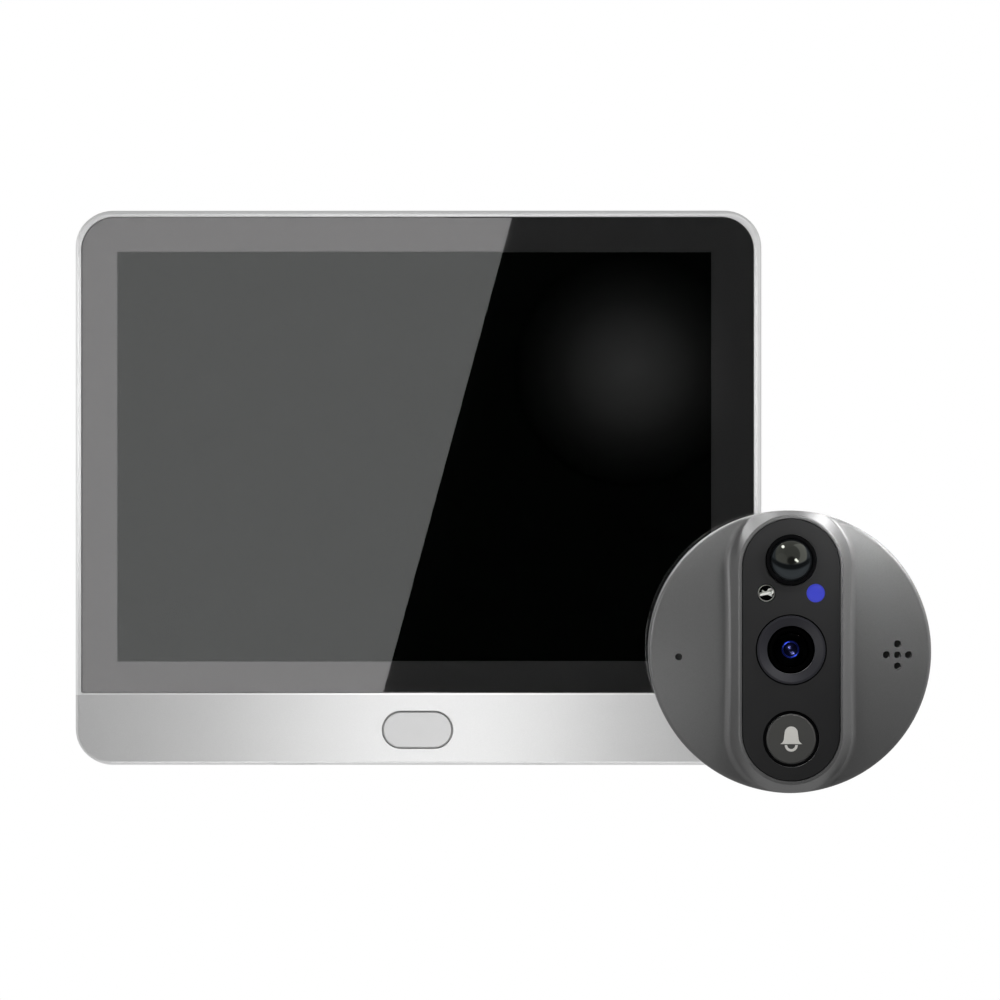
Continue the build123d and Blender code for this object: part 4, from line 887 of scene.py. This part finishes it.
class DOORCAM_OT_stage(bpy.types.Operator):
    """The pale floor, the reflected cards, the lights, the surroundings and the camera"""
    bl_idname = "doorcam.stage"
    bl_label = "Stage"

    def execute(self, context):
        studio = context.scene.doorcam_studio
        self.floor()
        self.camera(context, studio)
        glass = self.group("glass_receivers", "front_glass", "display_gasket", "lcd_panel", "film_edge")
        silver = self.group("silver_receivers", "front_shell", "home_button")
        self.card(studio, glass)
        self.spot(studio, glass)
        unit = self.group("unit_receivers", "camera_housing", "front_panel", "lens_ring", "pir_bezel",
                          "bell_button", "bell_icon", "button_seal", *GAUZES)
        floor = self.group("floor_receivers", "floor")
        key_x, strip = 2.5 * MM, studio.strip_power
        self.lamp("key", (0.55, -0.75, 0.75), (0.03, 0.0, -0.02), (0.5, 0.5), studio.key_power)
        self.lamp("fill", (-0.9, -0.7, -0.02), (0.0, 0.0, -0.02), (0.7, 0.9), studio.fill_power)
        self.lamp("floor_light", (0.0, -0.2, 1.4), (0.0, 0.0, -0.3), (1.2, 1.2), studio.floor_power, floor)
        self.lamp("strip", (key_x, -0.132, -0.054), (key_x, 0.0, -0.054), (0.06, 0.2), strip, silver, silver)
        solid = self.group("unit_blockers", "camera_housing", "front_panel", "lens_ring", "pir_bezel")
        optics = self.group("optics_receivers", "rear_lens", "blue_reflection_ring")
        leads = self.group("lead_receivers", "lead_frame_cup", "lead_frame_wide", "lead_frame_narrow",
                           "lead_frame_rim")
        face, lens, eye = (0.075, -0.04, -0.03), (0.075, -0.041, -0.036), (0.070, -0.04, -0.025)
        near, shoulder = studio.near_power, studio.shoulder_power
        small, rim = studio.lens_power, studio.rim_power
        beams = (
            ("near_right", (0.100, -0.085, 0.010), (0.090, -0.04, -0.010), 0.010, near, unit),
            ("near_left", (0.040, -0.090, 0.010), (0.060, -0.04, -0.020), 0.010, near * 0.22, unit),
            ("low_left", (0.020, -0.130, -0.055), face, 0.050, near * 0.6, unit),
            ("side_right", (0.220, -0.065, 0.100), face, 0.050, shoulder * 1.75, unit),
            ("side_left", (-0.060, -0.062, -0.010), face, 0.050, shoulder * 0.13, unit),
            ("shoulder_right", (0.205, 0.143, 0.162), face, 0.080, shoulder * 0.92, unit),
            ("shoulder_left", (-0.055, 0.143, 0.160), face, 0.060, shoulder * 3.4, unit),
            ("lens_spot", (0.0530, -0.240, 0.008), lens, 0.003, small * 14, optics),
            ("lens_low_right", (0.135, -0.180, -0.120), lens, 0.003, small * 9, optics),
            ("lens_low", (0.105, -0.240, -0.110), lens, 0.003, small * 2.5, optics),
            ("sensor_glow", (0.067, -0.120, 0.000), eye, 0.020, small * 2.6, leads),
        )
        for name, place, target, size, power, reached in beams:
            self.lamp(name, place, target, (size, size), power, reached, solid)
        self.dome_card()
        upright, level = (0.01, 0.07), (0.14, 0.01)
        rims = (
            ("left_rim_light", (-0.083, -0.06, 0.012), (-0.0695, -0.017, 0.005), upright, rim),
            ("right_rim_light", (0.083, -0.06, 0.012), (0.0695, -0.017, 0.005), upright, rim),
            ("top_rim_light", (0.0, -0.06, 0.066), (0.0, -0.017, 0.0525), level, rim * 0.9),
            ("low_rim_light", (0.0, -0.027, -0.12), (0.0, -0.016, -0.06), level, rim * 1.8),
        )
        for row in rims:
            self.lamp(*row, silver, silver)
        self.surroundings(context)
        return {"FINISHED"}

    def group(self, name, *pieces):
        """A group of pieces, for a light or card to reach or be shaded by."""
        group = bpy.data.collections.new(name)
        for piece in pieces:
            group.objects.link(frame["nodes"].get(piece) or bpy.data.objects[piece])
        return group

    def floor(self):
        """A plain pale floor below the object."""
        side, corner, thick, level = 0.76, 0.12, 0.01, -0.3
        floor = start("plane", size=side, location=(0.0, 0.0, level))
        bpy.ops.object.mode_set(mode="EDIT")
        bpy.ops.mesh.select_mode(type="VERT")
        bpy.ops.mesh.select_all(action="SELECT")
        bpy.ops.mesh.bevel(offset=corner, segments=12, affect="VERTICES")
        bpy.ops.mesh.select_all(action="SELECT")
        bpy.ops.mesh.extrude_region_move(TRANSFORM_OT_translate={"value": (0, 0, -thick)})
        bpy.ops.mesh.select_all(action="SELECT")
        bpy.ops.mesh.normals_make_consistent(inside=False)
        bpy.ops.object.mode_set(mode="OBJECT")
        floor.name = "floor"
        g = Graph("floor_pale")
        base = g.mixed(g.noise(60.0, 4.0), (0.8, 0.8, 0.8), (0.86, 0.86, 0.86))
        pale = g.surface(Base_Color=base, Roughness=0.7, Normal=g.bump(g.noise(1.0, 3.0), 0.05))
        floor.data.materials.append(pale)

    def camera(self, context, studio):
        """The camera at the photograph's viewing angle."""
        data = bpy.data.cameras.new("camera")
        data.sensor_width = 36.0
        # The picture is 1000 pixels wide, so it shows 1 / pixels_per_mm metres at the camera's target.
        data.lens = data.sensor_width * studio.distance * studio.pixels_per_mm
        data.clip_start = 0.01
        camera = bpy.data.objects.new("camera", data)
        context.scene.collection.objects.link(camera)
        back = Vector((math.sin(studio.azimuth), -math.cos(studio.azimuth), 0.0))
        camera.location = Vector(studio.target) + back * studio.distance
        camera.rotation_euler = (-back).to_track_quat("-Z", "Y").to_euler()
        context.scene.camera = camera

    def mirrored(self, studio, x, z, distance):
        """Where the glass mirrors the point (x, z) of its face to, that far in front of it."""
        away = distance / studio.distance
        eye = studio.target[0] + math.sin(studio.azimuth) * studio.distance
        return x + (x - eye) * away, z + (z - studio.target[2]) * away

    def hidden(self, card, group):
        """A card that only mirrors and lenses see, on the pieces of a group."""
        card.visible_camera = False
        card.visible_diffuse = False
        card.visible_shadow = False
        card.light_linking.receiver_collection = group

    def card(self, studio, group):
        """The pale card whose slanting edge shows in the glass."""
        away, half = 0.6, 0.25
        upper = self.mirrored(studio, 18.84 * MM, 50.1 * MM, away)
        lower = self.mirrored(studio, -6.32 * MM, -42.7 * MM, away)
        slope = (upper[0] - lower[0]) / (upper[1] - lower[1])
        card = start("plane", size=2 * half, location=(-half, -front_of("front_shell") - away, 0.0),
                     rotation=(math.pi / 2, 0, 0))
        bpy.ops.object.transform_apply(location=True, rotation=True, scale=True)
        bpy.ops.object.mode_set(mode="EDIT")
        for height in (-half, half):
            choose(lambda place, corner: place.x > -half and abs(place.z - height) < MM)
            bpy.ops.transform.translate(value=(lower[0] + (height - lower[1]) * slope, 0, 0))
        bpy.ops.object.mode_set(mode="OBJECT")
        card.name = "reflected_card"
        card.data.materials.append(Graph("card_glow").glowing((0.98, 1.0, 0.99), studio.card_glow))
        self.hidden(card, group)

    def spot(self, studio, group):
        """The soft round light that shows in the right half of the glass."""
        away = 0.62
        x, z = self.mirrored(studio, 43.5 * MM, 20.7 * MM, away)
        radius = 23.92 * MM * (1 + away / studio.distance)
        spot = start("circle", vertices=64, radius=radius, fill_type="NGON", rotation=(math.pi / 2, 0, 0),
                     location=(x, -front_of("front_shell") - away, z))
        bpy.ops.object.transform_apply(location=False, rotation=True, scale=True)
        spot.name = "reflected_spot"
        g = Graph("spot_glow")
        distance = g.node("ShaderNodeVectorMath", {"operation": "LENGTH"}, {0: g.place()})["Value"]
        stops = ((0.0, 1.0), (0.3, 0.64), (0.6, 0.2), (0.8, 0.07), (1.0, 0.0))
        fade = g.ramp(distance * (1.0 / radius), *stops)
        spot.data.materials.append(g.glowing(fade, studio.spot_glow))
        self.hidden(spot, group)

    def dome_card(self):
        """A small shell that the dome mirrors: a window, a crescent below it, a notch and four glints."""
        low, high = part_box("pir_dome")
        foot, rise = (high.x - low.x) / 2, front_of("pir_dome") - front_of("front_panel")
        radius = (foot * foot + rise * rise) / (2 * rise)
        middle = ((low.x + high.x) / 2, low.y + radius, (low.z + high.z) / 2)
        shell = 7.0 * MM
        card = start("uv_sphere", segments=48, ring_count=24, radius=shell, location=middle)
        card.name = "dome_card"
        g = Graph("dome_card")
        # A point of the dome whose normal leans by t mirrors the shell's point that leans by
        # 2 t - asin(radius / shell * sin t). Its reverse is t = lean * (slope - bend * lean * lean).
        edge = math.asin(foot / radius)
        edge_lean = 2 * edge - math.asin(radius / shell * math.sin(edge))
        slope = 1 / (2 - radius / shell)
        bend = (slope - edge / edge_lean) / edge_lean ** 2
        along = g.node("ShaderNodeVectorMath", {"operation": "NORMALIZE"}, [g.place()])[0]
        parts = g.node("ShaderNodeSeparateXYZ", None, {"Vector": along})
        lean = parts["Y"].combine("ARCCOSINE", parts["Y"] * -1.0)
        turn = lean * (slope - lean * lean * bend)
        share = turn.combine("SINE", turn) / lean.combine("SINE", lean) * (radius / foot)
        u, v = parts["X"] * share, parts["Z"] * share

        def disc(cx, cz, size, soft=0.05):
            """1 inside the circle, 0 outside, with a soft edge."""
            away = ((u - cx) ** 2 + (v - cz) ** 2) ** 0.5
            return g.stretched(away, size + soft, size - soft)

        top = disc(0.0, 1.11, 1.32, 0.04) * disc(0.0, 0.0, 0.97, 0.03)
        window = top * disc(0.0, 0.24, 0.74, 0.03)
        petal = window * disc(0.33, 0.3, 0.46, 0.02) * (1 - disc(-0.06, 0.25, 0.47, 0.02))
        leaf = window * disc(-0.47, 0.05, 0.27, 0.03)
        crescent = disc(0.0, 0.0, 0.87, 0.12) * (1 - disc(0.0, 0.86, 1.32, 0.05))
        inner = disc(-0.02, 0.25, 0.36, 0.03)
        glow = top * 0.35 + window * (0.42 - inner * 0.08)
        glow += leaf * 0.2 + petal * 1.1 + crescent * 0.7 + 0.15
        glow *= 1 - disc(0.0, -0.03, 0.2, 0.05) * 0.75
        glow += disc(-0.458, 0.824, 0.05, 0.02) * 9.0 + disc(-0.387, 0.627, 0.065, 0.02) * 24.0
        glow += disc(0.21, 0.01, 0.06, 0.02) * 22.0 + disc(0.28, -0.05, 0.05, 0.02) * 20.0
        tint = g.mixed(window, (0.8, 0.92, 1.0), (0.97, 1.0, 0.88))
        light = g.node("ShaderNodeVectorMath", {"operation": "SCALE"}, {0: tint, "Scale": glow})[0]
        card.data.materials.append(g.glowing(light, 1.0))
        card.visible_transmission = False
        self.hidden(card, self.group("dome_receivers", "pir_dome"))

    def lamp(self, name, place, target, size, power, reached=None, shading=None):
        """A soft rectangular light that looks at a point. Groups say what it reaches and what shades it."""
        data = bpy.data.lights.new(name, "AREA")
        data.shape = "RECTANGLE"
        data.size, data.size_y = size
        data.energy = power
        lamp = bpy.data.objects.new(name, data)
        bpy.context.scene.collection.objects.link(lamp)
        lamp.location = place
        lamp.rotation_euler = (Vector(target) - Vector(place)).to_track_quat("-Z", "Y").to_euler()
        lamp.visible_camera = False
        lamp.light_linking.receiver_collection = reached
        lamp.light_linking.blocker_collection = shading

    def surroundings(self, context):
        """White behind the object, and dim light all round that leaves the side behind the camera dark."""
        world = bpy.data.worlds.new("studio")
        context.scene.world = world
        world.use_nodes = True
        g = Graph(tree=world.node_tree)
        direction = g.node("ShaderNodeTexCoord")["Generated"]
        parts = g.node("ShaderNodeSeparateXYZ", None, {"Vector": direction})
        stops = ((0.0, 0.004), (0.08, 0.006), (0.3, 0.45), (0.5, 0.85), (1.0, 0.85))
        dim = g.ramp(parts["Y"] * 0.5 + 0.5, *stops)
        dim = g.mixed(g.ramp(parts["Z"], (0.25, 0.0), (0.6, 0.6)), dim, (0.1, 0.1, 0.1))
        around = g.node("ShaderNodeBackground", None, {"Color": dim, "Strength": 1.0})["Background"]
        pure = {"Color": (1.0, 1.0, 1.0), "Strength": 1.0}
        white = g.node("ShaderNodeBackground", None, pure)["Background"]
        seen = g.node("ShaderNodeLightPath")["Is Camera Ray"]
        both = g.node("ShaderNodeMixShader", None, {0: seen, 1: around, 2: white})[0]
        g.node("ShaderNodeOutputWorld", None, {"Surface": both})
        context.scene.view_settings.view_transform = "Standard"


class DOORCAM_PT_panel(bpy.types.Panel):
    """The steps, in the order in which they are run"""
    bl_idname = "DOORCAM_PT_panel"
    bl_label = "Door Camera"
    bl_space_type = "VIEW_3D"
    bl_region_type = "UI"
    bl_category = "Door Camera"

    def draw(self, context):
        scene = context.scene
        for settings in (scene.doorcam_monitor, scene.doorcam_camera, scene.doorcam_studio):
            box = self.layout.box()
            for name in settings.bl_rna.properties.keys():
                if name not in ("rna_type", "name"):
                    box.prop(settings, name)
        for step in STEPS:
            self.layout.operator(step.bl_idname)


STEPS = (
    DOORCAM_OT_casings, DOORCAM_OT_display, DOORCAM_OT_window_line, DOORCAM_OT_electronics,
    DOORCAM_OT_casing, DOORCAM_OT_gauze, DOORCAM_OT_optics, DOORCAM_OT_sensors, DOORCAM_OT_lead_frame,
    DOORCAM_OT_port_contacts, DOORCAM_OT_stage,
)
CLASSES = (MonitorSettings, CameraSettings, StudioSettings, *STEPS, DOORCAM_PT_panel)


def register():
    for each in CLASSES:
        bpy.utils.register_class(each)
    bpy.types.Scene.doorcam_monitor = PointerProperty(type=MonitorSettings)
    bpy.types.Scene.doorcam_camera = PointerProperty(type=CameraSettings)
    bpy.types.Scene.doorcam_studio = PointerProperty(type=StudioSettings)


def unregister():
    del bpy.types.Scene.doorcam_studio
    del bpy.types.Scene.doorcam_camera
    del bpy.types.Scene.doorcam_monitor
    for each in reversed(CLASSES):
        bpy.utils.unregister_class(each)


def main():
    register()
    for step in STEPS:
        group, name = step.bl_idname.split(".")
        if getattr(getattr(bpy.ops, group), name)() != {"FINISHED"}:
            raise RuntimeError(step.bl_label + " did not finish")


if __name__ == "__main__":
    main()
